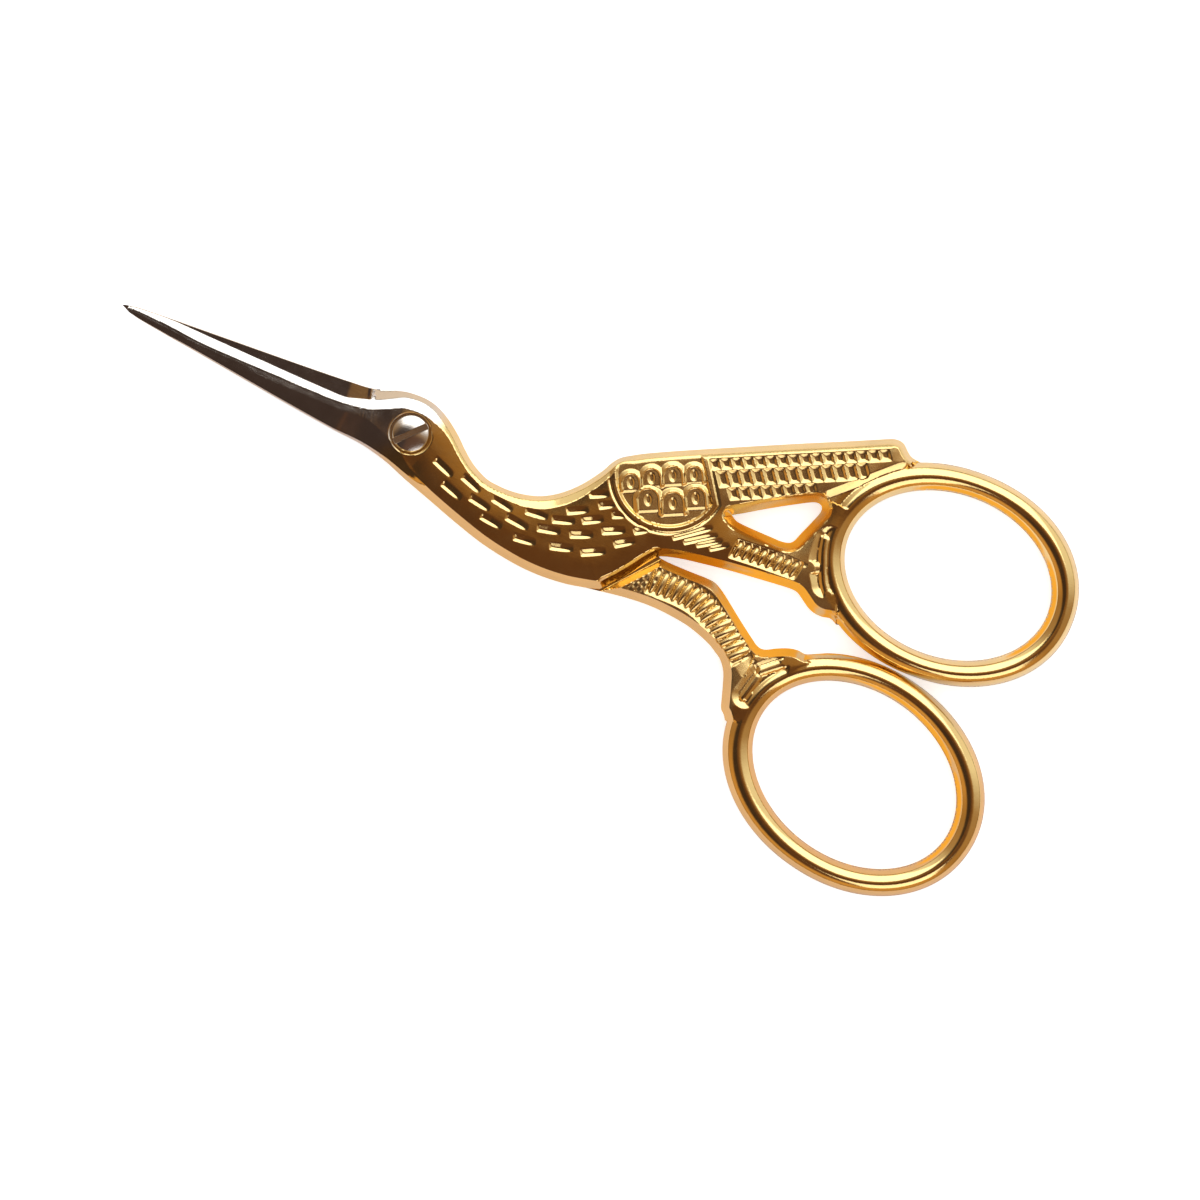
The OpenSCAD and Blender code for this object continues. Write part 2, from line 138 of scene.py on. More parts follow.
def insideLoops(xy, loops):
    # even-odd rule: a point is inside if a ray towards +X crosses the loops an odd number of times
    hit = np.zeros(len(xy), bool)
    for loop in loops:
        a, b = loop, np.roll(loop, -1, 0)
        for start in range(0, len(xy), forging["batch"]):
            here = slice(start, start + forging["batch"])
            x, y = xy[here, :1], xy[here, 1:2]
            across = (a[:, 1] > y) != (b[:, 1] > y)
            with np.errstate(divide="ignore", invalid="ignore"):
                at = a[:, 0] + (y - a[:, 1]) * (b[:, 0] - a[:, 0]) / (b[:, 1] - a[:, 1])
            hit[here] ^= (across & (x < at)).sum(1) % 2 == 1
    return hit


def edgeProfile(d, cols):
    # height over the parting plane at distance d from an outline: thin lip, straight wall, bevel, face
    wall, bevel, wallHigh, top, lip = cols.T
    thin = forging["lip"]
    slope = lip + (wallHigh - lip) * (d - thin) / np.maximum(wall - thin, 0.01)
    slope = np.where(d < thin, lip * d / thin, slope)
    rise = wallHigh + (top - wallHigh) * (d - wall) / bevel
    fall = forging["crown"] * unit((1.4 - bevel) / 0.5)      # none beside the blades' wide bevels
    fall = fall * unit(1 - (d - wall - bevel) / forging["crownWide"]) ** 2
    rise = np.minimum(rise, top - fall)
    return np.where(d < wall, slope, np.minimum(top, rise))


# Outlines
# A row of an edge is x, y, width of its wall, width of its bevel, height of the wall and, if they aren't
# the usual ones, height of the face and height of the lip; a plain wall's lip lies on the wall itself.
plainEdge = (forging["wall"], forging["bevel"], forging["wallHigh"])


def fullRow(row):
    # a row that names no face height reaches the full one
    row = row if len(row) > 5 else (*row, half)
    return row if len(row) == 7 else (*row, row[4] * min(1, forging["lip"] / row[2]))


def edge(points, *sizes):
    return [(*p, *(sizes or plainEdge)) for p in points]


def edgeLine(rows, bend=True):
    rows = [fullRow(r) for r in rows]
    return smoothRows(rows) if bend else evenRows(rows, forging["rowStep"])


blade = {"root": -5.5, "tip": -27.9, "thick": (1.42, 0.4), "wide": (4.75, 0.35)}     # from root to tip


def bladeEdge(points, ground):
    # the cutting side has a flat ground flank and the bright facet, the other a thin spine and a long flank
    rows = []
    for x, y in points:
        f = (x - blade["root"]) / (blade["tip"] - blade["root"])
        t = blade["thick"][0] + (blade["thick"][1] - blade["thick"][0]) * f
        wide = blade["wide"][0] + (blade["wide"][1] - blade["wide"][0]) * f
        flank, spine = max(0.1, 1.45 + 0.083 * (x + 8)), 0.1 * min(1, wide / 2.2)
        facet = min(0.68 - 0.017 * (x + 8), 0.58 * wide)
        low = t - 0.43 * facet
        if ground:
            rows.append((x, y, flank, facet, low, t, low))
        else:
            bevel = max(0.05, wide - flank - facet - spine - 0.03)
            rows.append((x, y, spine, bevel, 0.84 * t, t, 0.42 * t))
    return rows


cuttingLine = [(-27.9, -0.3), (-27, -0.06), (-24, 0.27), (-20, 0.66), (-12, 1.42), (-8, 1.83)]
spineLine = [(-7, -2.6), (-12, -2.23), (-20, -1.54), (-24, -1.22), (-27, -0.92), (-27.9, -0.6)]

headTop = [
    (-6.8, 1.97, 1.5, 0.64, 1.085, 1.36, 1.08), (-6, 2.06, 1.33, 0.78, 1.05, 1.395, 1.045),
    (-5.2, 2.17, 1.14, 0.9, 1.0, 1.42, 0.99), (-4.75, 2.28, 1.07, 0.94, 0.985, 1.44, 0.95),
    (-4.5, 2.36, 1.04, 0.93, 1.02, 1.45, 0.05), (-4, 2.54, 0.96, 0.94, 1.0, 1.46, 0.03),
    (-3, 2.92, 0.74, 1.0, 0.97, 1.49, 0.05), (-2, 3.25, 0.52, 1.05, 0.95), (-1, 3.4, 0.44, 1.05, 0.95),
    (0, 3.43, 0.42, 1.05, 0.95), (1, 3.26, 0.43, 0.95, 0.98), (2, 2.87, 0.45, 0.8, 1.0),
    (3, 2.29, 0.45, 0.55, 1.1), (4, 1.59, 0.45, 0.42, 1.18), (5, 0.76, 0.44, 0.4, 1.2),
    (6, 0.04, 0.42, 0.4, 1.2), (7, -0.48, 0.42, 0.42, 1.2), (8, -0.82, 0.42, 0.45, 1.2),
    (9, -0.9, 0.42, 0.48, 1.2), (10, -0.88, 0.42, 0.55, 1.18), (11, -0.75, 0.42, 0.65, 1.12),
    (12, -0.5, 0.42, 0.8, 1.05), (13, -0.1, 0.42, 0.85, 1.0), (14, 0.53, 0.42, 0.85, 1.0),
    (15, 1.42, 0.42, 0.8, 1.0), (16, 2.62, 0.42, 0.65, 1.05), (17, 4.24, 0.42, 0.5, 1.15),
    (17.45, 5.25, 0.4, 0.4, 1.2), (18, 6.02, 0.42, 0.3, 1.25)]
backLine = [
    (19, 6.76), (20, 7.4), (22, 8.54), (24, 9.64), (28, 11.81), (32, 13.96), (36, 16.07), (39, 17.68)]
backEdge = edge(backLine, 0.5, 0.42, 1.15)
tailCorner = edge([
    (39.6, 17.96), (40.15, 18.04), (40.65, 17.9), (41.2, 17.45), (41.7, 17.15),
    (42.4, 17.06)], 0.5, 0.3, 1.15)
shankLine = edge([
    (41.9, 0.62), (41.2, 0.88), (40.5, 0.72), (39.8, 0.69), (39.1, 0.86), (38.5, 1.19), (38, 1.49),
    (37.4, 1.78), (36.6, 1.78), (35, 1.56), (33, 1.26), (31, 0.94), (29, 0.56), (27, 0.14), (25.6, -0.26),
    (25.0, -0.5)])
bellyRim = edge([
    (24.7, -0.72), (24.0, -1.72), (23.2, -3.0), (22.4, -4.15), (21.7, -4.95)], 0.62, 0.3, 1.1)
bellyRun = [
    (21.2, -5.55), (20, -5.92), (18, -6.4), (15.5, -6.68), (13, -6.64), (10, -6.26), (7, -5.55), (4, -4.71)]
bellyLine = edge(bellyRun, 0.5, 0.28, 1.0) + [
    (2.5, -4.3, 0.46, 0.45, 1.1), (1, -3.87, 0.38, 0.9, 1.28),
    (-1, -3.24, 0.28, 1.4, 1.28, half, 0.3), (-3, -2.84, 0.2, 2.0, 1.24, 1.49, 0.4),
    (-4.4, -2.7, 0.16, 2.4, 1.19, 1.45, 0.45), (-5.8, -2.66, 0.12, 2.3, 1.16, 1.395, 0.5)]
openingLine = edge([
    (29.25, 5.58), (29.9, 5.27), (31, 5.22), (33, 5.27), (34.4, 5.34), (35.2, 5.7), (35.6, 6.8),
    (36.0, 7.95), (36.35, 9.15), (36.2, 9.72), (35.5, 9.76), (34, 8.86), (32, 7.52), (30.3, 6.3)])
openingWall = (0.62, 0.3, 1.1)

legTop = edge([
    (25.1, -0.66), (26, -0.69), (28, -0.62), (29.4, -0.53), (30.3, -0.55), (31, -0.8), (32, -1.39),
    (34, -2.72), (35.5, -3.67), (36.3, -4.12), (37.0, -4.15), (38, -3.57), (39, -3.1), (39.8, -2.93),
    (40.5, -2.96), (41.2, -2.62), (42.0, -2.2)])
legBelly = edge([
    (36.45, -11.4), (36.15, -11.0), (35.7, -10.6), (35.35, -9.7), (35, -8.74), (34.5, -7.55), (33.8, -6.68),
    (33, -6.19), (32, -5.72), (30, -5.17), (28, -4.96), (26, -4.94), (24, -5.15), (22, -5.51),
    (21.2, -5.68)])

upperBow = {"in": (49.18, 8.88, 9.58, 7.3, 3.1, 2), "out": (49.06, 8.9, 12.12, 9.65, 3.6, 2.08)}
lowerBow = {"in": (49.12, -10.95, 9.95, 7.53, -11.5, 2), "out": (49.04, -10.96, 12.5, 9.95, -9.8, 2.05)}

wingStep = ((25.1, -0.5), (17.4, 6.2))      # on the back, where the back half's lap meets the wing
legStep = ((21.4, -5.1), (24.7, -0.75))     # on the front, where the front half's belly meets the leg


def arcBetween(ring, first, last):
    # the stretch of a closed ring, clockwise, from the point nearest to first to the one nearest to last
    ring = ring[::-1]
    a = np.argmin(np.hypot(*(ring - first[:2]).T))
    ring = np.roll(ring, -a, 0)
    b = np.argmin(np.hypot(*(ring - last[:2]).T))
    return ring[1:b]


def sideOf(xy, line):
    # signed distance to the right of the line from its first to its second point
    (ax, ay), (bx, by) = line
    ux, uy = np.array((bx - ax, by - ay)) / math.hypot(bx - ax, by - ay)
    return (xy[:, 0] - ax) * uy - (xy[:, 1] - ay) * ux


# Chased ornament, as depths over a face
def stroke(xy, start, end, low=0.19, high=0.5, deep=0.19, taper=1.15):
    # a punched feather mark: a steep narrow lower lip with a hooked near end, and a floor that climbs back
    # to the face upwards and towards the far end
    (ax, ay), (bx, by) = start, end
    length = math.hypot(bx - ax, by - ay)
    ux, uy = (bx - ax) / length, (by - ay) / length
    s = (xy[:, 0] - ax) * ux + (xy[:, 1] - ay) * uy
    t = (xy[:, 1] - ay) * ux - (xy[:, 0] - ax) * uy
    lip = (t + low) / 0.3
    hook = np.maximum(0, s + 0.12 + 0.25 * unit(t)) / 0.22
    corner = np.maximum(0, lip) * hook / np.maximum(np.hypot(lip, hook), 1e-6) * 1.3    # rounds the corner
    floor = unit((high - t) / (high + low)) * unit((length - s) / taper)
    return -deep * np.minimum(corner, 1) * floor


featherMarks = [
    ((3.05, -1.35), (5.0, -2.0)), ((5.95, -1.62), (7.85, -2.2)), ((4.55, -2.95), (6.55, -3.5)),
    ((7.35, -3.05), (9.3, -3.3)), ((9.25, -2.25), (11.2, -2.5)), ((8.95, -4.15), (10.95, -4.3)),
    ((11.05, -3.25), (13.15, -3.4)), ((12.45, -2.0), (14.35, -1.75)), ((12.45, -4.6), (14.35, -4.3)),
    ((14.05, -2.95), (15.95, -2.45)), ((14.95, -1.7), (16.75, -1.05)), ((15.75, -3.95), (17.65, -3.35)),
    ((15.85, -0.45), (17.4, 0.45)), ((16.95, -2.25), (18.75, -1.45)), ((17.45, -0.65), (19.0, 0.25)),
    ((17.05, 1.75), (18.5, 2.5)), ((18.25, 1.2), (19.4, 1.9)), ((18.55, -3.3), (20.4, -2.3)),
    ((19.45, -0.75), (21.2, 0.15)), ((19.65, 0.95), (20.7, 1.4)), ((20.95, -1.35), (22.4, -0.3)),
    ((22.05, 0.45), (23.2, 1.2))]
shankStrokes = [
    ((25.4, 1.45), (28.2, 3.8)), ((26.45, 1.5), (28.9, 3.35)), ((27.6, 1.75), (29.5, 3.1)),
    ((28.8, 1.95), (30.2, 3.0))]


def featherDepth(xy):
    return np.minimum.reduce([stroke(xy, *m) for m in featherMarks])


wing = {"centre": (22.55, 6.5), "radius": 4.98, "rim": 0.2, "deep": 0.24, "lean": 28.1, "band": 0.34,
        "crest": 0.1,
        # each scale: its middle and the radius of its arch; the lower row lies over the upper one
        "scales": [(19.75, 4.4, 0.72), (21.25, 5.55, 0.76), (22.9, 6.55, 0.78), (24.6, 7.4, 0.7),
                   (21.8, 3.65, 0.92), (23.95, 4.3, 0.92), (25.6, 5.6, 0.84)],
        "tailSide": ((27.5, 5.7), (24.9, 9.2))}


def wingDepth(xy):
    # inside the rim the ground is sunk; each scale is an arch with two legs that slopes up from outside to
    # a crest and falls steeply to a floor with a long pit
    cx, cy = wing["centre"]
    deep, band = wing["deep"], wing["band"]
    c, s = math.cos(math.radians(wing["lean"])), math.sin(math.radians(wing["lean"]))
    fromMiddle = np.hypot(xy[:, 0] - cx, xy[:, 1] - cy)
    fromTail = sideOf(xy, wing["tailSide"])          # positive on the tail's side
    within = np.minimum(wing["radius"] - fromMiddle, -fromTail)
    ground = np.full(len(xy), -deep)
    for x, y, r in wing["scales"]:
        dx, dy = xy[:, 0] - x, xy[:, 1] - y
        u, v = dx * c + dy * s, dy * c - dx * s
        reach = np.where(v > 0, np.hypot(u, v), np.abs(u))
        foot = unit((v + 1.35 * r) / 0.3)
        off = reach - r - wing["crest"]
        arch = unit(1 - np.where(off > 0, off / band, -off / 0.17)) * foot
        pit = unit((1 - np.hypot(u / 0.32, (v + 0.05) / 0.55)) / 0.4)
        own = -deep * (1 - np.maximum(arch, 0.42 * foot * (1 - pit)))
        ground = np.where((off < 0) & (v > -1.35 * r), own, np.maximum(ground, -deep * (1 - arch)))
    rim = -deep * unit((within - wing["rim"]) / 0.18)
    outer = -0.07 * unit((-within - wing["rim"]) / 0.1) * unit((0.55 + within) / 0.25)
    return np.where(within > wing["rim"], np.maximum(rim, ground), outer)


tailRows = {"slope": 28.1, "start": (24, 9.68), "shear": 0.2, "deep": 0.18, "side": 0.25,
            # each row: upper and lower border below the back line, first and last place along it, pitch
            "rows": [(0.95, 2.05, 0.75, 17.07, 1.02), (2.05, 3.6, 1.35, 15.0, 1.05),
                     (3.6, 4.8, 2.3, 10.3, 1.0)]}
tailFacet = ((36.5, 11.65), (41.1, 16.4))    # from here the tail falls away to the bow


def tailDepth(xy):
    # rows of leaf-shaped pockets along the back, leaning a little: a pocket's depth follows
    # a b / sqrt(a^2 + b^2) of the distances a and b to its nearest sides, and is greatest at its near end
    c, s = math.cos(math.radians(tailRows["slope"])), math.sin(math.radians(tailRows["slope"]))
    dx, dy = xy[:, 0] - tailRows["start"][0], xy[:, 1] - tailRows["start"][1]
    along, down = dx * c + dy * s, dx * s - dy * c
    depth = np.zeros(len(xy))
    for upper, lower, first, last, pitch in tailRows["rows"]:
        place = along - tailRows["shear"] * (down - upper) - first
        part = place / pitch - np.floor(place / pitch)
        a = np.minimum(part, 1 - part) * pitch
        b = np.clip(np.minimum(down - upper, lower - down), 0, None)
        near = a * b / np.maximum(np.hypot(a, b), 1e-6)
        here = (place > 0) & (place < last - first)
        pocket = tailRows["deep"] * unit(near / tailRows["side"]) * (1.1 - 0.35 * part)
        depth = np.where(here, np.minimum(depth, -pocket), depth)
    return depth


def ribDepth(xy, spine, pitch, wide, long, first, last, lean, deep):
    # rounded ribs across a curved line: ground sunk by deep, each rib as high as the face along its crest
    line = smoothRows([(*p, 0) for p in spine], 0.1)
    line[:, 2] = np.r_[0, np.cumsum(np.hypot(*np.diff(line[:, :2], axis=0).T))]
    d, cols = nearest(xy, line)
    k = np.clip(np.round(cols[:, 0] / 0.1).astype(int), 0, len(line) - 1)
    n = normals(line)[k]
    off = ((xy - line[k, :2]) * n).sum(1)
    along = cols[:, 0] + lean * off
    rib = np.round((along - first) / pitch)
    rib = np.clip(rib, 0, round((last - first) / pitch))
    a = (along - first - rib * pitch) / wide
    b = off / (long + 0.12)
    rise = np.sqrt(unit(1 - a * a - b * b))
    field = unit((long + 0.25 - np.abs(off)) / 0.4)
    field = field * unit((along - first + 0.55) / 0.2) * unit((last + 0.55 - along) / 0.2)
    return -deep * field * (1 - rise) * (d < 3)


shankRibs = {"spine": [(30.2, 2.85), (32, 3.08), (34, 3.3), (37, 3.55)],
             "pitch": 0.76, "wide": 0.3, "long": 0.72, "first": 0.85, "last": 6.2,
             "lean": 0.2, "deep": 0.22}
legRibs = {"spine": [(23.6, -3.0), (25.5, -2.75), (28, -2.62), (30, -2.85), (32, -3.65), (34, -4.85),
                     (35.6, -5.9)],
           "pitch": 0.73, "wide": 0.35, "long": 1.12, "first": 1.9, "last": 12.4,
           "lean": 0.12, "deep": 0.26}


def ridge(xy, points, wide, high):
    # a rounded ridge along a line: height high * sqrt(1 - (distance / wide)^2)
    line = smoothRows(points, 0.1) if len(points) > 2 else evenRows(points, 0.1)
    return high * np.sqrt(unit(1 - (nearest(xy, line)[0] / wide) ** 2))


def sunk(xy, points, reach, fade, deep):
    # ground sunk by deep within reach of a line, rising over fade
    d = nearest(xy, smoothRows(points, 0.15))[0]
    return -deep * unit((reach - d) / fade)


def frontGusset(xy):
    # ground sunk between shank and bow, with a long curved ridge and a short block beside it
    field = sunk(xy, [(38.0, 7.3), (38.3, 5.2), (39.4, 3.4)], 1.2, 0.6, 0.22)
    long = ridge(xy, [(37.75, 7.1), (38.1, 6.0), (38.55, 5.0), (39.2, 3.7), (40.1, 2.6)], 0.42, 0.22)
    block = ridge(xy, [(37.35, 4.25), (38.1, 4.45)], 0.55, 0.2)
    return field + np.minimum(np.maximum(long, block), -field)


def backGusset(xy):
    # ground sunk between leg and bow, with the arm and the stem of a Y and a pit in the leg's corner
    field = sunk(xy, [(38.6, -5.2), (37.6, -6.6), (37.1, -8.6)], 1.2, 0.6, 0.22)
    arm = ridge(xy, [(39.1, -4.5), (38.3, -5.25), (37.5, -6.05)], 0.45, 0.22)
    stem = ridge(xy, [(37.45, -6.7), (37.25, -7.7), (37.05, -8.85)], 0.38, 0.22)
    pit = unit(1.15 * (1 - nearest(xy, evenRows([(36.6, -5.75), (37.0, -6.05)], 0.1))[0] / 0.4))
    return field + np.minimum(np.maximum(arm, stem), -field) - 0.12 * pit


def hammered(xy):
    # small dents where the leg starts: the product of two crossing waves, fading out at the borders
    x, y = xy.T
    wave = np.sin(8.3 * x + 2.1 * y) * np.sin(7.1 * y - 3.3 * x + 0.7)
    fade = unit((sideOf(xy, legStep) - 0.75) / 0.4) * unit((26.1 - x) / 0.6)
    fade = fade * unit((y + 4.75) / 0.4) * unit((-1.25 - y) / 0.3)
    return -0.07 * (0.5 + 0.5 * wave) * fade


def matte(xy):
    # 1 where the face is chased and left matt: wing, tail, ribs and gussets; 0 on the polished parts
    x, y = xy.T
    shankMiddle = smoothRows([(36.3, 3.6), (38.2, 5.2), (39.6, 3.2)], 0.3)
    legMiddle = smoothRows(legRibs["spine"] + [(37.6, -6.6), (37.2, -9)], 0.3)
    fields = [5.0 - np.hypot(x - wing["centre"][0], y - wing["centre"][1]),
              np.minimum(sideOf(xy, wing["tailSide"]), y - 5.5),
              2.2 - nearest(xy, shankMiddle)[0],
              np.minimum(2.2 - nearest(xy, legMiddle)[0], sideOf(xy, legStep) - 0.5)]
    bows = np.minimum.reduce([((x - cx) / a) ** 2 + ((y - cy) / b) ** 2
                              for cx, cy, a, b, *_ in (upperBow["out"], lowerBow["out"])])
    return unit(np.maximum.reduce(fields) / 0.4) * unit((bows - 0.97) / 0.05)


# Objects and meshes
def addObject(name, data):
    obj = bpy.data.objects.new(name, data)
    bpy.context.collection.objects.link(obj)
    return obj


def newMesh(name, verts, faces, sharp):
    # from points in millimetres, smooth but for edges sharper than the angle in degrees
    mesh = bpy.data.meshes.new(name)
    mesh.from_pydata((verts * mm).tolist(), [], faces)
    mesh.polygons.foreach_set("use_smooth", np.ones(len(faces), bool))
    mesh.set_sharp_from_angle(angle=math.radians(sharp))
    return mesh


# One mesh maker for plates worked on both faces
def gridPoints(loops, step):
    # staggered lattice inside the loops, found row by row from where each row crosses them
    a = np.vstack(loops)
    low, high = a.min(0), a.max(0)
    b = np.vstack([np.roll(loop, -1, 0) for loop in loops])
    found = []
    for k, y in enumerate(np.arange(low[1], high[1], step * 0.866)):
        hit = (a[:, 1] > y) != (b[:, 1] > y)
        at = np.sort(a[hit, 0] + (y - a[hit, 1]) * (b[hit, 0] - a[hit, 0]) / (b[hit, 1] - a[hit, 1]))
        x = np.arange(low[0] + (k % 2) * step / 2, high[0], step)
        x = x[np.searchsorted(at, x) % 2 == 1]
        found.append(np.column_stack([x, np.full(len(x), y)]))
    return np.vstack(found)


def awayFrom(points, taken, cell):
    # drops the points that fall in or beside a cell that already holds one of the taken ones
    def key(c):
        return c[:, 0] * 100003 + c[:, 1]
    t = np.floor(taken / cell).astype(np.int64)
    keys = np.unique(np.concatenate([key(t + (i, j)) for i in (-1, 0, 1) for j in (-1, 0, 1)]))
    return points[~np.isin(key(np.floor(points / cell).astype(np.int64)), keys)]


def sheet(loops, inner, lines):
    # triangles over the points inside the loops; the loops and lines are kept as edges
    edges, first = [], 0
    for k, line in enumerate(loops + lines):
        i = np.arange(len(line) if k < len(loops) else len(line) - 1)
        edges.append(first + np.column_stack([i, (i + 1) % len(line)]))
        first += len(line)
    points = np.vstack(loops + lines + [inner]).tolist()
    verts, _, faces, *_ = delaunay_2d_cdt(points, np.vstack(edges).tolist(), [], 1, 1e-6, False)
    verts, faces = np.array([tuple(v) for v in verts]), np.array(faces)
    return verts, faces[insideLoops(verts[faces].mean(1), loops)]


def plate(name, loops, topPoints, lowPoints, topLines, lowLines, topAt, lowAt):
    # the front and back sheets, joined along the loops; the last loop, a bore, gets an upright wall instead
    topXY, topFaces = sheet(loops, topPoints, topLines)
    lowXY, lowFaces = sheet(loops, lowPoints, lowLines)
    top = np.column_stack([topXY, topAt(topXY)])
    low = np.column_stack([lowXY, lowAt(lowXY)])
    verts = np.vstack([top, low])
    faces = [topFaces, lowFaces[:, ::-1] + len(top)]
    onRim = np.isin(hashOf(verts), hashOf(np.vstack(loops[:-1])))
    lowRim, topRim = lowAt(verts[onRim, :2]), topAt(verts[onRim, :2])
    verts[onRim, 2] = np.where(np.abs(lowRim - half) > 1e-6, lowRim, topRim)
    bore, base = loops[-1], len(verts)
    n = len(bore)
    j = np.arange(n)
    k = (j + 1) % n
    faces.append(np.column_stack([base + j, base + k, base + n + k]))
    faces.append(np.column_stack([base + j, base + n + k, base + n + j]))
    verts = np.vstack([verts, np.column_stack([bore, topAt(bore)]), np.column_stack([bore, lowAt(bore)])])
    faces = np.vstack(faces)
    # points that fall together are made one, and faces with no area left are dropped
    keys, back = np.unique(np.round(verts * 1e5).astype(np.int64), axis=0, return_inverse=True)
    firsts = np.full(len(keys), -1)
    back = back.reshape(-1)
    firsts[back[::-1]] = np.arange(len(verts))[::-1]
    verts, faces = verts[firsts], back[faces]
    faces = faces[(faces != np.roll(faces, 1, 1)).all(1)]
    mesh = newMesh(name, verts, faces.tolist(), 42)
    matt = mesh.attributes.new("matte", "FLOAT", "POINT")
    matt.data.foreach_set("value", matte(verts[:, :2]).astype(np.float32))
    mesh.validate()
    print(name, len(verts), "points", len(faces), "triangles")
    return addObject(name, mesh)


def hashOf(xy):
    # one whole number for each place
    k = np.round(xy[:, :2] * 1e4).astype(np.int64)
    return k[:, 0] * 10000019 + k[:, 1]


def edgeRuns(edges, loops, keep=None):
    # runs of points beside the edges, along their creases, broken where another edge is nearer
    runs = []
    for rows in edges:
        wall, bevel = rows[:, 2], rows[:, 3]
        r = np.minimum(forging["crease"], 0.25 * wall)
        lip = np.full(len(rows), forging["lip"])
        for off in (lip, wall - r, wall + r, wall + bevel - r, wall + bevel + r):
            p = rows[:, :2] + normals(rows) * off[:, None]
            d = np.minimum.reduce([nearest(p, loop, True)[0] for loop in loops])
            good = (d > off - 0.02) & insideLoops(p, loops)
            if keep:
                good &= keep(p)
            turns = np.diff(np.r_[0, good.astype(int), 0])
            starts, ends = np.flatnonzero(turns == 1), np.flatnonzero(turns == -1)
            runs += [p[a:b] for a, b in zip(starts, ends) if b - a > 1]
    return runs


def bowRows(bow):
    # rings of points across a bow's band, closer together at its sides
    inner = oval(bow, "in", 0.08)
    inner = inner[(inner[:, 0] < 43) | (np.arange(len(inner)) % 3 == 0)]
    away = normals(inner, True)         # to the right of an anticlockwise ring, so outwards
    wide = nearest(inner, oval(bow, "out"), True)[0]
    wall = bowSection["wall"]
    offsets = [np.full(len(wide), o) for o in (0.03, 0.16, 0.3, wall - 0.035, wall + 0.035)]
    offsets += [wall + (wide - 2 * wall) * s for s in (0.12, 0.2, 0.28, 0.36, 0.43, 0.5)]
    offsets += [wide - o for o in offsets[:-1]]
    return [np.vstack([p, p[:1]]) for p in (inner + away * o[:, None] for o in offsets)]


bowSection = {"wall": 0.45, "wallHigh": 1.14, "high": 1.46, "lip": 0.12}


def bowHeight(xy, bow):
    # section: straight drafted walls on both sides and a low round top, falling as the square of the place
    # q across it; also the distance from the bow's hole
    away = np.full(len(xy), 99.0)
    high = np.zeros(len(xy))
    close = np.hypot(xy[:, 0] - bow["out"][0], xy[:, 1] - bow["out"][1]) < bow["out"][2] + 0.5
    xy = xy[close]
    holeLine, rimLine = oval(bow, "in", 0.1), oval(bow, "out", 0.1)
    a, b = nearest(xy, holeLine, True)[0], nearest(xy, rimLine, True)[0]
    band = insideLoops(xy, [rimLine]) & ~insideLoops(xy, [holeLine])
    edge, middle = np.minimum(a, b), np.maximum((a + b) / 2, 1e-6)
    q = unit((middle - edge) / (middle - bowSection["wall"]))
    wall = bowSection["lip"] + (bowSection["wallHigh"] - bowSection["lip"]) * edge / bowSection["wall"]
    top = bowSection["wallHigh"] + (bowSection["high"] - bowSection["wallHigh"]) * (1 - q ** 2)
    away[close] = a
    high[close] = np.where(edge < bowSection["wall"], wall, top) * (band & (edge >= 1e-5))
    return high, away


def bodyHeight(xy, edges, bodyLoop, bow, ornament):
    # lowest of the edge profiles with the ornament cut in, ending in a shallow groove along the bow's
    # crown; the bow's own rounded section stands beside it
    high = np.full(len(xy), half)
    for rows in edges:
        d, cols = nearest(xy, rows)
        high = np.minimum(high, edgeProfile(d, cols))
    ring, fromHole = bowHeight(xy, bow)
    inBow = insideLoops(xy, [oval(bow, "out", 0.1)])
    beside = np.where(fromHole > 1.1, half * (0.9 + 0.1 * unit((fromHole - 1.2) / 0.2)), 0)
    high = np.where(inBow, np.minimum(high, beside), high)
    high = high + ornament(xy) * unit((high - 0.72 * half) / (0.28 * half)) ** 2
    high = np.where(insideLoops(xy, [bodyLoop]), high, 0)
    high = np.where(insideLoops(xy, [oval(bow, "in", 0.1)]), 0, high)
    return np.maximum(high, ring)


def flat(lines):
    return np.vstack([np.asarray(line)[:, :2] for line in lines])


def circle(r, count=72):
    t = np.linspace(0, 2 * math.pi, count, endpoint=False)
    return np.column_stack([r * np.cos(t), r * np.sin(t)])


def stepLine(line):
    # points along a step, and the unit vector to its right
    (ax, ay), (bx, by) = line
    t = np.linspace(-0.05, 1.05, 260)[:, None]
    p = np.array([(ax, ay)]) + t * np.array([(bx - ax, by - ay)])
    return p, np.array([(by - ay, ax - bx)]) / math.hypot(bx - ax, by - ay)


def cutTo(lines, loops, clear):
    # the points of the lines that lie inside the loops and further than clear from the outline
    outline = np.vstack([loops[0], loops[0][:1]])
    lines = [q[insideLoops(q, loops)] for q in lines]
    return [q[nearest(q, outline)[0] > clear] for q in lines]


def finePoints(loops, rows, step):
    # the bows themselves need no lattice beside their rings
    points = awayFrom(gridPoints(loops, step), np.vstack(loops + rows), 0.05)
    return points[points[:, 0] < forging["bowsFrom"]]


def lapPoints(loops, step, side):
    # a wide lattice over the flat lapped face, which lies further than side to the left of the step
    points = gridPoints(loops, forging["lapStep"])
    return awayFrom(points[sideOf(points, step) < side], np.vstack(loops), 0.1)


def only(xy, here, depthAt):
    # what depthAt says where here is true, and 0 elsewhere
    depth = np.zeros(len(xy))
    depth[here] = depthAt(xy[here])
    return depth


rootEdge = (0.3, 0.3, 1.3)        # where a half runs into its bow
print("tools ready")

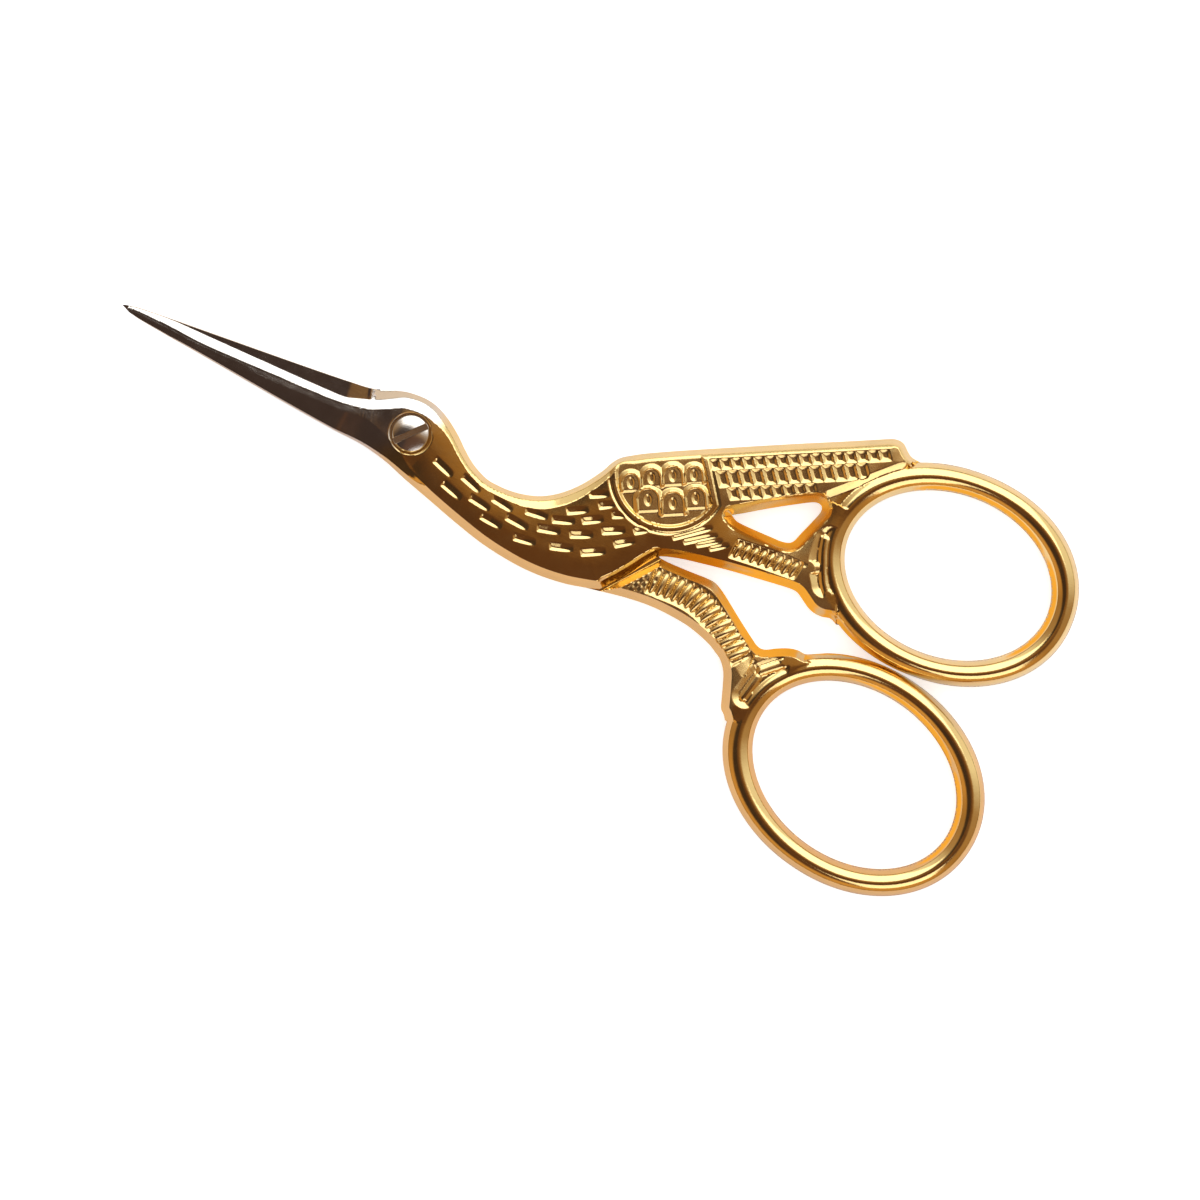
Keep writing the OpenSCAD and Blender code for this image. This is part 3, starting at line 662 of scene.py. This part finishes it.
# Front half
seat = {"hole": 1.13, "radius": 1.85, "rim": 1.98, "chamfer": 0.14, "floor": 2.2}
frontEdges = {
    "back": edgeLine(bladeEdge(cuttingLine, True) + headTop + backEdge + tailCorner),
    "shank": edgeLine(shankLine),
    "rim": edgeLine(bellyRim, False),
    "belly": edgeLine(bellyLine + bladeEdge(spineLine, False)),
}
opening = edgeLine([(*r[:2], *openingWall) for r in openingLine + openingLine[:1]])
upperArc = arcBetween(oval(upperBow, "out"), frontEdges["back"][-1], frontEdges["shank"][0])
underLines = [frontEdges[part] for part in ("shank", "rim", "belly")]
upperRoot = [edgeLine(edge([(42.4, 17.06), (41.2, 14.6)], *rootEdge), False),
             edgeLine(edge([(41.3, 3.6), (41.9, 0.62)], *rootEdge), False)]
frontOuter = flat([frontEdges["back"], upperArc, *underLines])
frontBodyLoop = flat([frontEdges["back"], upperRoot[0], [(44, 9)], upperRoot[1], *underLines])
frontBody = [frontOuter, opening[:-1, :2], oval(upperBow, "in")]
frontLoops = frontBody + [circle(seat["hole"])]
frontBodyEdges = [*frontEdges.values(), opening]


def shankDepth(xy):
    strokes = [stroke(xy, *m, high=0.34) for m in shankStrokes]
    return np.minimum.reduce([ribDepth(xy, **shankRibs), *strokes])


def frontChasing(xy):
    # all ornament of the front half's faces
    x, y = xy.T
    nearWing = np.hypot(x - wing["centre"][0], y - wing["centre"][1]) < 5.6
    depth = np.minimum.reduce([
        only(xy, x < 24.5, featherDepth), only(xy, nearWing & (y > 0.5), wingDepth),
        only(xy, (sideOf(xy, wing["tailSide"]) > 0.25) & (y > 5.5), tailDepth),
        only(xy, (x > 25) & (x < 37.2) & (y < 4.4), shankDepth)])
    depth = depth + only(xy, (x > 36.4) & (x < 42) & (y < 13), frontGusset)
    fall = unit(sideOf(xy, tailFacet) / 0.7)
    return np.where((x > 36) & (y > 10.4), np.minimum(depth, -0.3 * fall), depth)


def frontHigh(xy):
    return bodyHeight(xy, frontBodyEdges + upperRoot, frontBodyLoop, upperBow, frontChasing)


def frontTop(xy):
    # the face, with the chamfered seat of the screw's head sunk in it
    z = half + frontHigh(xy)
    r = np.hypot(*xy.T)
    slope = (r - seat["rim"]) * seat["chamfer"] / (seat["rim"] - seat["radius"])
    z = np.where(r < seat["rim"], np.minimum(z, 2 * half + slope), z)
    return np.where(r < seat["radius"] + 0.004, seat["floor"], z)


def frontLow(xy):
    lapped = sideOf(xy, wingStep) < 0.004
    return np.where(lapped, half + gap, half - frontHigh(xy))


def offSeat(p):
    return np.hypot(*p.T) > seat["rim"] + 0.08


def rightOfWing(p):
    return sideOf(p, wingStep) > 0.05


seatRings = (seat["radius"], seat["radius"] + 0.012, seat["rim"] - 0.02, seat["rim"] + 0.03)
seatRows = [np.vstack([c, c[:1]]) for c in (circle(r, 90) for r in seatRings)]
frontRuns = edgeRuns(frontBodyEdges, frontBody, offSeat)
frontBowRuns = bowRows(upperBow)
frontGrid = finePoints(frontLoops, frontRuns + frontBowRuns + seatRows, forging["fineStep"])
lowRuns = edgeRuns(frontBodyEdges, frontBody, rightOfWing)
lowGrid = finePoints(frontLoops, lowRuns + frontBowRuns, forging["backStep"])
lowGrid = lowGrid[sideOf(lowGrid, wingStep) > 0.06]
lapGrid = lapPoints(frontLoops, wingStep, -0.1)
along, right = stepLine(wingStep)
wingLines = cutTo([along, along + right * 0.02], frontLoops, 0.03)      # foot and brow of the step
frontHalf = plate("gilt_front_half", frontLoops, np.vstack([frontGrid] + frontBowRuns),
                  np.vstack([lowGrid, lapGrid] + frontBowRuns), frontRuns + seatRows, lowRuns + wingLines,
                  frontTop, frontLow)
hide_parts("front_half")
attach(frontHalf, "front")

# Back half
backTip = [
    (-28.49, -0.45), (-28.2, -0.33), (-27.2, -0.14), (-24, 0.2), (-20, 0.6), (-12, 1.38), (-8, 1.8),
    (-7, 1.92)]
backNape = [(-5.8, 2.08, 0.12, 2.3, 1.04, 1.41), (-4.6, 2.32, 0.2, 1.9, 1.1, 1.45)]
backSpine = [(-7, -2.6), (-12, -2.23), (-20, -1.54), (-24, -1.22), (-27.2, -0.88), (-28.2, -0.57)]
stepGap = 0.15          # between the back half's lap and the wing's step
backBack = edgeLine(bladeEdge(backTip, False) + backNape + headTop[6:])
backBack = backBack[sideOf(backBack, wingStep) < -stepGap]
backBelly = edgeLine(legBelly + bellyLine[1:] + bladeEdge(backSpine, True))
legLine = edgeLine(legTop)
stepWall = edgeLine(edge([backBack[-1, :2], (24.93, -0.62)], 0.07, 0.1, 1.4), False)[1:]
lowerArc = arcBetween(oval(lowerBow, "out"), legLine[-1], backBelly[0])
lowerRoot = [edgeLine(edge([(42.0, -2.2), (41.0, -5.4)], *rootEdge), False),
             edgeLine(edge([(38.6, -11.6), (36.45, -11.4)], *rootEdge), False)]
backOuter = flat([backBack, stepWall, legLine, lowerArc, backBelly])
backBodyLoop = flat([backBack, stepWall, legLine, lowerRoot[0], [(42, -9)], lowerRoot[1], backBelly])
backBodyEdges = [backBack, stepWall, legLine, backBelly]
backLoops = [backOuter, oval(lowerBow, "in"), circle(0.9)]


def legChasing(xy):
    # ornament of the leg, which both faces of the back half carry
    x, y = xy.T
    leg, gusset = (x > 23) & (x < 36.4) & (y < -0.6), (x > 35) & (x < 40.4) & (y < -3.6)
    depth = only(xy, leg & (y > -7.2), lambda p: np.minimum(ribDepth(p, **legRibs), hammered(p)))
    return depth + only(xy, gusset & (y > -11), backGusset)


def backChasing(xy):
    # the back face carries the feather marks too, because the lap leaves it whole there
    return np.minimum(legChasing(xy), only(xy, xy[:, 0] < 21, featherDepth))


def backTop(xy):
    # left of the step the lapped face; then the step's wall, leaning, up to the leg's face
    right = sideOf(xy, legStep)
    high = half + bodyHeight(xy, backBodyEdges + lowerRoot, backBodyLoop, lowerBow, legChasing)
    wall = half + 0.05 + (right - 0.3) / 0.55 * 1.3
    return np.where(right < 0.304, half - gap, np.minimum(high, wall))


def backLow(xy):
    return half - bodyHeight(xy, backBodyEdges + lowerRoot, backBodyLoop, lowerBow, backChasing)


def rightOfLeg(p):
    return sideOf(p, legStep) > 0.36


backRuns = edgeRuns(backBodyEdges, backLoops[:2])
backBowRuns = bowRows(lowerBow)
backGrid = finePoints(backLoops, backRuns + backBowRuns, forging["fineStep"])
along, right = stepLine(legStep)
along = cutTo([along], backLoops, 0.03)[0]
legLines = cutTo([along + right * s for s in (0.3, 0.32, 0.85)], backLoops, 0.04)     # its foot and brow
topRuns = edgeRuns(backBodyEdges, backLoops[:2], rightOfLeg)
topGrid = backGrid[rightOfLeg(backGrid)]
lapGrid = lapPoints(backLoops, legStep, 0.2)
backHalf = plate("gilt_back_half", backLoops, np.vstack([topGrid, lapGrid] + backBowRuns),
                 np.vstack([backGrid] + backBowRuns), topRuns + legLines, backRuns,
                 backTop, backLow)
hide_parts("back_half")
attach(backHalf, "back")

# Pivot screw
screw = {"head": 1.69, "chamfer": 0.1, "dome": 0.115, "fall": 0.26, "slot": 0.26, "slotDeep": 0.4,
         "turn": 49, "thread": 0.895, "shoulder": 1.1, "under": 2.22, "foot": 1.492, "end": 0.1}
slotTurn = math.radians(screw["turn"])


def crown(r):
    # height of the domed head, falling as r^2
    return 2 * half + screw["dome"] - screw["fall"] * (r / screw["head"]) ** 2


def screwTop(xy):
    # a dome falling as r^2, a chamfered rim, and the slot cut straight across
    r = np.hypot(*xy.T)
    z = crown(r) - unit(r - screw["head"] + screw["chamfer"])
    t = np.abs(-xy[:, 0] * math.sin(slotTurn) + xy[:, 1] * math.cos(slotTurn))
    z = np.where(t < screw["slot"] + 0.05, np.minimum(z, crown(r) - 0.06 + (t - screw["slot"]) * 1.2), z)
    return np.where(t < screw["slot"] + 0.002, 2 * half + screw["dome"] - screw["slotDeep"], z)


def revolve(profile, count=72):
    # rings of a turned profile, from its lowest to its highest point
    t = np.linspace(0, 2 * math.pi, count, endpoint=False)
    r, z = np.array(profile, float).T
    verts = np.stack([r[:, None] * np.cos(t), r[:, None] * np.sin(t), np.repeat(z[:, None], count, 1)], -1)
    i, j = np.meshgrid(np.arange(len(r) - 1), np.arange(count), indexing="ij")
    k = (j + 1) % count
    quads = np.stack([i * count + j, i * count + k, (i + 1) * count + k, (i + 1) * count + j], -1)
    return verts.reshape(-1, 3), quads.reshape(-1, 4)


headLoop = circle(screw["head"], 90)
c, s = math.cos(slotTurn), math.sin(slotTurn)
slotRuns = []
for off in (-0.31, -0.264, -0.258, 0.258, 0.264, 0.31):      # both sides of the slot's brow and foot
    reach = math.sqrt(screw["head"] ** 2 - off ** 2) - 0.02
    q = np.linspace(-reach, reach, 60)
    slotRuns.append(np.column_stack([q * c - off * s, q * s + off * c]))
headRows = [circle(screw["head"] - inset, 90) for inset in (0.03, 0.07, 0.105, 0.14)]
headRows = [r[np.abs(np.abs(-r[:, 0] * s + r[:, 1] * c) - 0.28) > 0.045] for r in headRows]
headGrid = awayFrom(gridPoints([headLoop], 0.11), np.vstack([headLoop] + headRows + slotRuns), 0.06)
topXY, topFaces = sheet([headLoop], np.vstack(headRows + [headGrid]), slotRuns)
capVerts = np.column_stack([topXY, screwTop(topXY)])
thread, shoulder, foot, under, end = (screw[k] for k in ("thread", "shoulder", "foot", "under", "end"))
body = [(0.001, end), (thread - 0.12, end), (thread, end + 0.12), (thread, foot), (shoulder, foot),
        (shoulder, under), (screw["head"], under)]
bodyVerts, bodyQuads = revolve(body, 90)
rimVerts = np.column_stack([headLoop, screwTop(headLoop)])
base = len(bodyVerts)
j = np.arange(90)
k = (j + 1) % 90
ring = (len(body) - 1) * 90
wallQuads = np.column_stack([ring + j, ring + k, base + k, base + j])
verts = np.vstack([bodyVerts, rimVerts, capVerts])
faces = bodyQuads.tolist() + wallQuads.tolist() + (topFaces + base + 90).tolist()
screwObject = addObject("slotted_pivot_screw", newMesh("pivot_screw_slotted", verts, faces, 35))
weld = screwObject.modifiers.new("weld", "WELD")
weld.merge_threshold = 2e-6
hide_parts("pivot_screw")
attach(screwObject, "back")
print("screw made")

# Finishes
finish = {
    "gold": (0.88, 0.65, 0.28, 1), "nickel": (0.74, 0.71, 0.67, 1),
    "plateRough": (0.08, 0.14),     # roughness of the plating, from its clearest to its cloudiest places
    "plateShade": (0.93, 1.05),     # the same for its brightness
    "nickelRough": 0.16,            # roughness of the screw
    "chasedRough": 0.1,             # added where the face is chased
}


def shadeNode(tree, kind, inputs=None, **settings):
    # a node with its settings; an input that is given a socket is linked to it, any other gets the value
    node = tree.nodes.new("ShaderNode" + kind)
    for key, value in settings.items():
        setattr(node, key, value)
    for key, value in (inputs or {}).items():
        if isinstance(value, bpy.types.NodeSocket):
            tree.links.new(value, node.inputs[key])
        else:
            node.inputs[key].default_value = value
    return node


def blend(tree, share, first, second, **settings):
    # the first colour where share is 0, the second where it is 1
    return shadeNode(tree, "Mix", {0: share, 6: first, 7: second}, data_type="RGBA", **settings).outputs[2]


def ramp(tree, value, low, high):
    # a smooth S from 0 at low to 1 at high
    return shadeNode(tree, "MapRange", {"Value": value, "From Min": low, "From Max": high},
                     interpolation_type="SMOOTHSTEP").outputs["Result"]


def spread(tree, noise, low, high):
    # a noise's middle range stretched from low to high
    return shadeNode(tree, "MapRange", {"Value": noise, "From Min": 0.3, "From Max": 0.7, "To Min": low,
                                        "To Max": high}).outputs["Result"]


def sums(tree, operation, *values):
    return shadeNode(tree, "Math", dict(enumerate(values)), operation=operation).outputs[0]


def vectors(tree, operation, *values):
    return shadeNode(tree, "VectorMath", dict(enumerate(values)), operation=operation).outputs


def noise(tree, place, scale, detail, rough=0.5):
    return shadeNode(tree, "TexNoise", {"Vector": place, "Scale": scale, "Detail": detail,
                                        "Roughness": rough}).outputs["Fac"]


def newGroup(name, **results):
    # an empty node group that takes a place and gives the named results; also its input and output nodes
    tree = bpy.data.node_groups.new(name, "ShaderNodeTree")
    tree.interface.new_socket("Place", in_out="INPUT", socket_type="NodeSocketVector")
    for result, kind in results.items():
        tree.interface.new_socket(result, in_out="OUTPUT", socket_type="NodeSocket" + kind)
    return tree, tree.nodes.new("NodeGroupInput").outputs["Place"], tree.nodes.new("NodeGroupOutput")


def platingGroup():
    # colour of the plating: nickel left of a soft slanted line by the screw, gold right of it, and clouds
    tree, place, out = newGroup("platingTone", Colour="Color", Roughness="Float")
    # distance across the line from (-1.5, -2.9) to (2.7, 2.4): the dot product with its normal
    across = vectors(tree, "DOT_PRODUCT", place, (783.7, -621.1, 0))["Value"]
    cloud = noise(tree, place, 900, 3, 0.55)
    gilt = ramp(tree, sums(tree, "ADD", across, sums(tree, "MULTIPLY", cloud, 1.2)), -0.6, 2.0)
    tone = blend(tree, gilt, finish["nickel"], finish["gold"])
    shade = spread(tree, noise(tree, place, 260, 4, 0.6), *finish["plateShade"])
    tree.links.new(blend(tree, 1.0, tone, shade, blend_type="MULTIPLY"), out.inputs["Colour"])
    tree.links.new(spread(tree, cloud, *finish["plateRough"]), out.inputs["Roughness"])
    return tree


def scratchGroup():
    # fine hairlines and a faint waviness of hand polishing, as a bump normal
    tree, place, out = newGroup("polishMarks", Normal="Vector")
    stretch = shadeNode(tree, "Mapping", {"Vector": place, "Scale": (1, 9, 9)}).outputs["Vector"]
    both = sums(tree, "MULTIPLY_ADD", noise(tree, stretch, 1500, 3, 0.6), 0.35, noise(tree, place, 700, 2))
    bumpy = shadeNode(tree, "Bump", {"Strength": 0.12, "Distance": 0.00006, "Height": both})
    tree.links.new(bumpy.outputs["Normal"], out.inputs["Normal"])
    return tree


platingTone, polishMarks = platingGroup(), scratchGroup()


def metal(name, plated):
    mat = bpy.data.materials.new(name)
    mat.use_nodes = True
    tree = mat.node_tree
    shader = tree.nodes["Principled BSDF"]
    shader.inputs["Metallic"].default_value = 1.0
    place = shadeNode(tree, "TexCoord").outputs["Object"]
    marks = shadeNode(tree, "Group", {}, node_tree=polishMarks)
    tree.links.new(place, marks.inputs["Place"])
    tree.links.new(marks.outputs["Normal"], shader.inputs["Normal"])
    if plated:
        tone = shadeNode(tree, "Group", {}, node_tree=platingTone)
        chased = shadeNode(tree, "Attribute", attribute_name="matte").outputs["Fac"]
        rougher = sums(tree, "MULTIPLY_ADD", chased, finish["chasedRough"], tone.outputs["Roughness"])
        tree.links.new(place, tone.inputs["Place"])
        tree.links.new(tone.outputs["Colour"], shader.inputs["Base Color"])
        tree.links.new(rougher, shader.inputs["Roughness"])
    else:
        shader.inputs["Base Color"].default_value = finish["nickel"]
        shader.inputs["Roughness"].default_value = finish["nickelRough"]
    return mat


giltSteel, nickelSteel = metal("giltSteel", True), metal("nickelSteel", False)
frontHalf.data.materials.append(giltSteel)
backHalf.data.materials.append(giltSteel)
screwObject.data.materials.append(nickelSteel)
print("finishes set")

# Floor, light and camera
studio = {"turn": 25, "middle": (21.71, -6.36), "frame": 108, "lens": 135, "sensor": 36}

ground = {
    "reach": 3.0, "below": 0.00005, "plain": (0.9, 0.9, 0.9, 1), "rough": 0.9, "glow": 0.6,
    "backSide": (-0.009, 0.004),        # from the belly's side to the back's, along Y
    "headSide": (-0.001, 0.007),        # from the blades to the neck, along X
    # what the metal sees of the floor, painted reflections only: its colour on the belly's side, darker as
    # painted shade, at the blades, and at the back, lighter as painted light, and between the halves,
    # orange as a painted reflection of the gold
    "belly": (0.66, 0.61, 0.74, 1), "blades": (0.72, 0.65, 0.6, 1), "back": (0.88, 0.87, 1.0, 1),
    "paintedBounce": (0.95, 0.52, 0.12, 1), "leastPaintedBounce": 0.5,
    # the same for the light that it gives off: painted light that only the metal sees, dim on the belly's
    # side, brightest at the back and warm between the halves
    "bellyGlow": (0.04, 0.16, 0.42, 1), "bladesGlow": (0.08, 0.24, 0.42, 1),
    "backGlow": (0.1, 0.46, 0.9, 1), "paintedBounceGlow": (0.3, 0.2, 0.03, 1),
    # middle and half widths of each gap in millimetres, where the painted reflection of the gold is full
    "spots": [((33.2, 7.3), (4.2, 2.6)), ((32, -0.2), (8.5, 1.9)), ((45, -1.2), (5.5, 1.6)),
              ((36.5, -0.8), (4, 2.6)), ((50, 13.4), (6.5, 2.2)), ((56.2, 9.5), (2, 4)),
              ((51.5, -6.6), (6, 2.2)), ((56.6, -11), (1.8, 4))],
}

floorMesh = bpy.data.meshes.new("floor")
reach = ground["reach"]
floorMesh.from_pydata([(-reach, -reach, 0), (reach, -reach, 0), (reach, reach, 0), (-reach, reach, 0)], [],
                      [(0, 1, 2, 3)])
floor = addObject("floor", floorMesh)
floor.location.z = -ground["below"]
floorMat = bpy.data.materials.new("paleFloor")
floorMat.use_nodes = True
tree = floorMat.node_tree
shader = tree.nodes["Principled BSDF"]
shader.inputs["Roughness"].default_value = ground["rough"]
shader.inputs["Specular IOR Level"].default_value = 0.0
path = shadeNode(tree, "LightPath").outputs
place = shadeNode(tree, "TexCoord").outputs["Object"]
split = shadeNode(tree, "SeparateXYZ", {0: place}).outputs
side, front = ramp(tree, split["Y"], *ground["backSide"]), ramp(tree, split["X"], *ground["headSide"])
# painted reflection of the gold: every glossy view of the floor is at least half orange, and fully orange
# within the spots
paintedBounce = ground["leastPaintedBounce"]
for middle, size in ground["spots"]:
    spot = shadeNode(tree, "Mapping", {"Vector": place, "Location": (middle[0] * mm, middle[1] * mm, 0),
                                       "Scale": (size[0] * mm, size[1] * mm, 1)}, vector_type="TEXTURE")
    away = vectors(tree, "LENGTH", spot.outputs["Vector"])["Value"]
    paintedBounce = sums(tree, "MAXIMUM", ramp(tree, away, 1.2, 0.7), paintedBounce)


# painted reflection: the floor's tone as the metal alone sees it, darker on the belly's side as painted
# shade, lighter at the back as painted light, with the painted orange bounce of the gold mixed in
def paintedReflectionTone(belly, blades, back, bounceTone):
    upper = blend(tree, front, blades, back)
    return blend(tree, paintedBounce, blend(tree, side, belly, upper), bounceTone)


colour = paintedReflectionTone(ground["belly"], ground["blades"], ground["back"], ground["paintedBounce"])
glow = paintedReflectionTone(ground["bellyGlow"], ground["bladesGlow"], ground["backGlow"], ground["paintedBounceGlow"])
seen = sums(tree, "MAXIMUM", path["Is Camera Ray"], path["Is Transmission Ray"])
strength = sums(tree, "MAXIMUM", sums(tree, "MULTIPLY", seen, ground["glow"]), path["Is Glossy Ray"])
# the camera sees the even pale floor and its shadow; glossy rays see the painted tones and painted glow
# instead
tree.links.new(blend(tree, path["Is Glossy Ray"], ground["plain"], colour), shader.inputs["Base Color"])
tree.links.new(blend(tree, path["Is Glossy Ray"], (1, 1, 1, 1), glow), shader.inputs["Emission Color"])
tree.links.new(strength, shader.inputs["Emission Strength"])
floorMesh.materials.append(floorMat)

sky = {
    "plain": (0.6, 0.6, 0.6, 1),        # what lights everything but the metal's reflections
    "zenithAim": (0.0, -0.33, 1.0), "zenithWide": (27, 40),     # a dark patch over the scissors, in degrees
    "blackTone": (0.055, 0.033, 0.024, 1), "darkTone": (0.12, 0.052, 0.024, 1),
    "amberTone": (0.34, 0.18, 0.06, 1),
    "amberSide": (-0.04, 0.13), "darkSide": (-0.13, -0.04),     # where the patch turns amber, and brown
    # tones round the sky by the cosine of the angle from the bird's back, (cosine + 1) / 2
    "around": [(0.0, (0.66, 0.36, 0.12, 1)), (0.2, (0.6, 0.32, 0.1, 1)), (0.36, (0.4, 0.22, 0.08, 1)),
               (0.62, (0.42, 0.28, 0.16, 1)), (0.8, (0.92, 0.88, 0.82, 1)), (1.0, (0.97, 0.94, 0.9, 1))],
    "rimTone": (0.2, 0.11, 0.05, 1), "rim": (0.05, 0.16),
}
world = bpy.data.worlds.new("studio")
bpy.context.scene.world = world
world.use_nodes = True
tree = world.node_tree
path = shadeNode(tree, "LightPath").outputs
where = shadeNode(tree, "TexCoord").outputs["Generated"]
split = shadeNode(tree, "SeparateXYZ", {0: where}).outputs
zenith = tuple(np.array(sky["zenithAim"]) / np.linalg.norm(sky["zenithAim"]))
inner, outer = np.cos(np.radians(sky["zenithWide"])).tolist()
overhead = ramp(tree, vectors(tree, "DOT_PRODUCT", where, zenith)["Value"], outer, inner)
heading = vectors(tree, "NORMALIZE", vectors(tree, "MULTIPLY", where, (1, 1, 0))["Vector"])["Vector"]
backward = shadeNode(tree, "SeparateXYZ", {0: heading}).outputs["Y"]
around = shadeNode(tree, "ValToRGB", {0: sums(tree, "MULTIPLY_ADD", backward, 0.5, 0.5)})
stops = around.color_ramp.elements
for _ in sky["around"][2:]:
    stops.new(0.5)
for stop, (position, colour) in zip(stops, sky["around"]):
    stop.position, stop.color = position, colour
golden = blend(tree, ramp(tree, split["Y"], *sky["amberSide"]), sky["darkTone"], sky["amberTone"])
above = blend(tree, ramp(tree, split["X"], *sky["darkSide"]), sky["blackTone"], golden)
rimmed = blend(tree, ramp(tree, split["Z"], *sky["rim"]), sky["rimTone"], around.outputs["Color"])
tone = blend(tree, overhead, rimmed, above)
glossy = blend(tree, path["Is Glossy Ray"], sky["plain"], tone)
final = blend(tree, path["Is Camera Ray"], glossy, (1, 1, 1, 1))
tree.links.new(final, tree.nodes["Background"].inputs["Color"])


def softLight(name, azimuth, elevation, size, power, distance=0.6):
    # a square lamp aimed at the middle of the scissors from that direction in the part's frame
    lamp = bpy.data.lights.new(name, "AREA")
    lamp.shape, lamp.size, lamp.energy = "SQUARE", size, power
    obj = addObject(name, lamp)
    a, e = math.radians(azimuth), math.radians(elevation)
    aimAt = np.array([studio["middle"][0] * mm, studio["middle"][1] * mm, 0])
    way = np.array([math.cos(a) * math.cos(e), math.sin(a) * math.cos(e), math.sin(e)])
    obj.location = aimAt + way * distance
    obj.rotation_euler = (math.pi / 2 - e, 0, a + math.pi / 2)


softLight("keySoftbox", 97, 47, 0.62, 1.45)
softLight("fillSoftbox", -48, 50, 0.3, 0.42)

camera = addObject("camera", bpy.data.cameras.new("camera"))
camera.data.type = "PERSP"
camera.data.lens, camera.data.sensor_width = studio["lens"], studio["sensor"]
camera.data.clip_start = 0.01
camera.location = (studio["middle"][0] * mm, studio["middle"][1] * mm,
                   studio["frame"] * mm * studio["lens"] / studio["sensor"] + half * mm)
camera.rotation_euler = (0, 0, math.radians(studio["turn"]))
bpy.context.scene.camera = camera
bpy.context.scene.view_settings.view_transform = "Standard"
print("studio set")
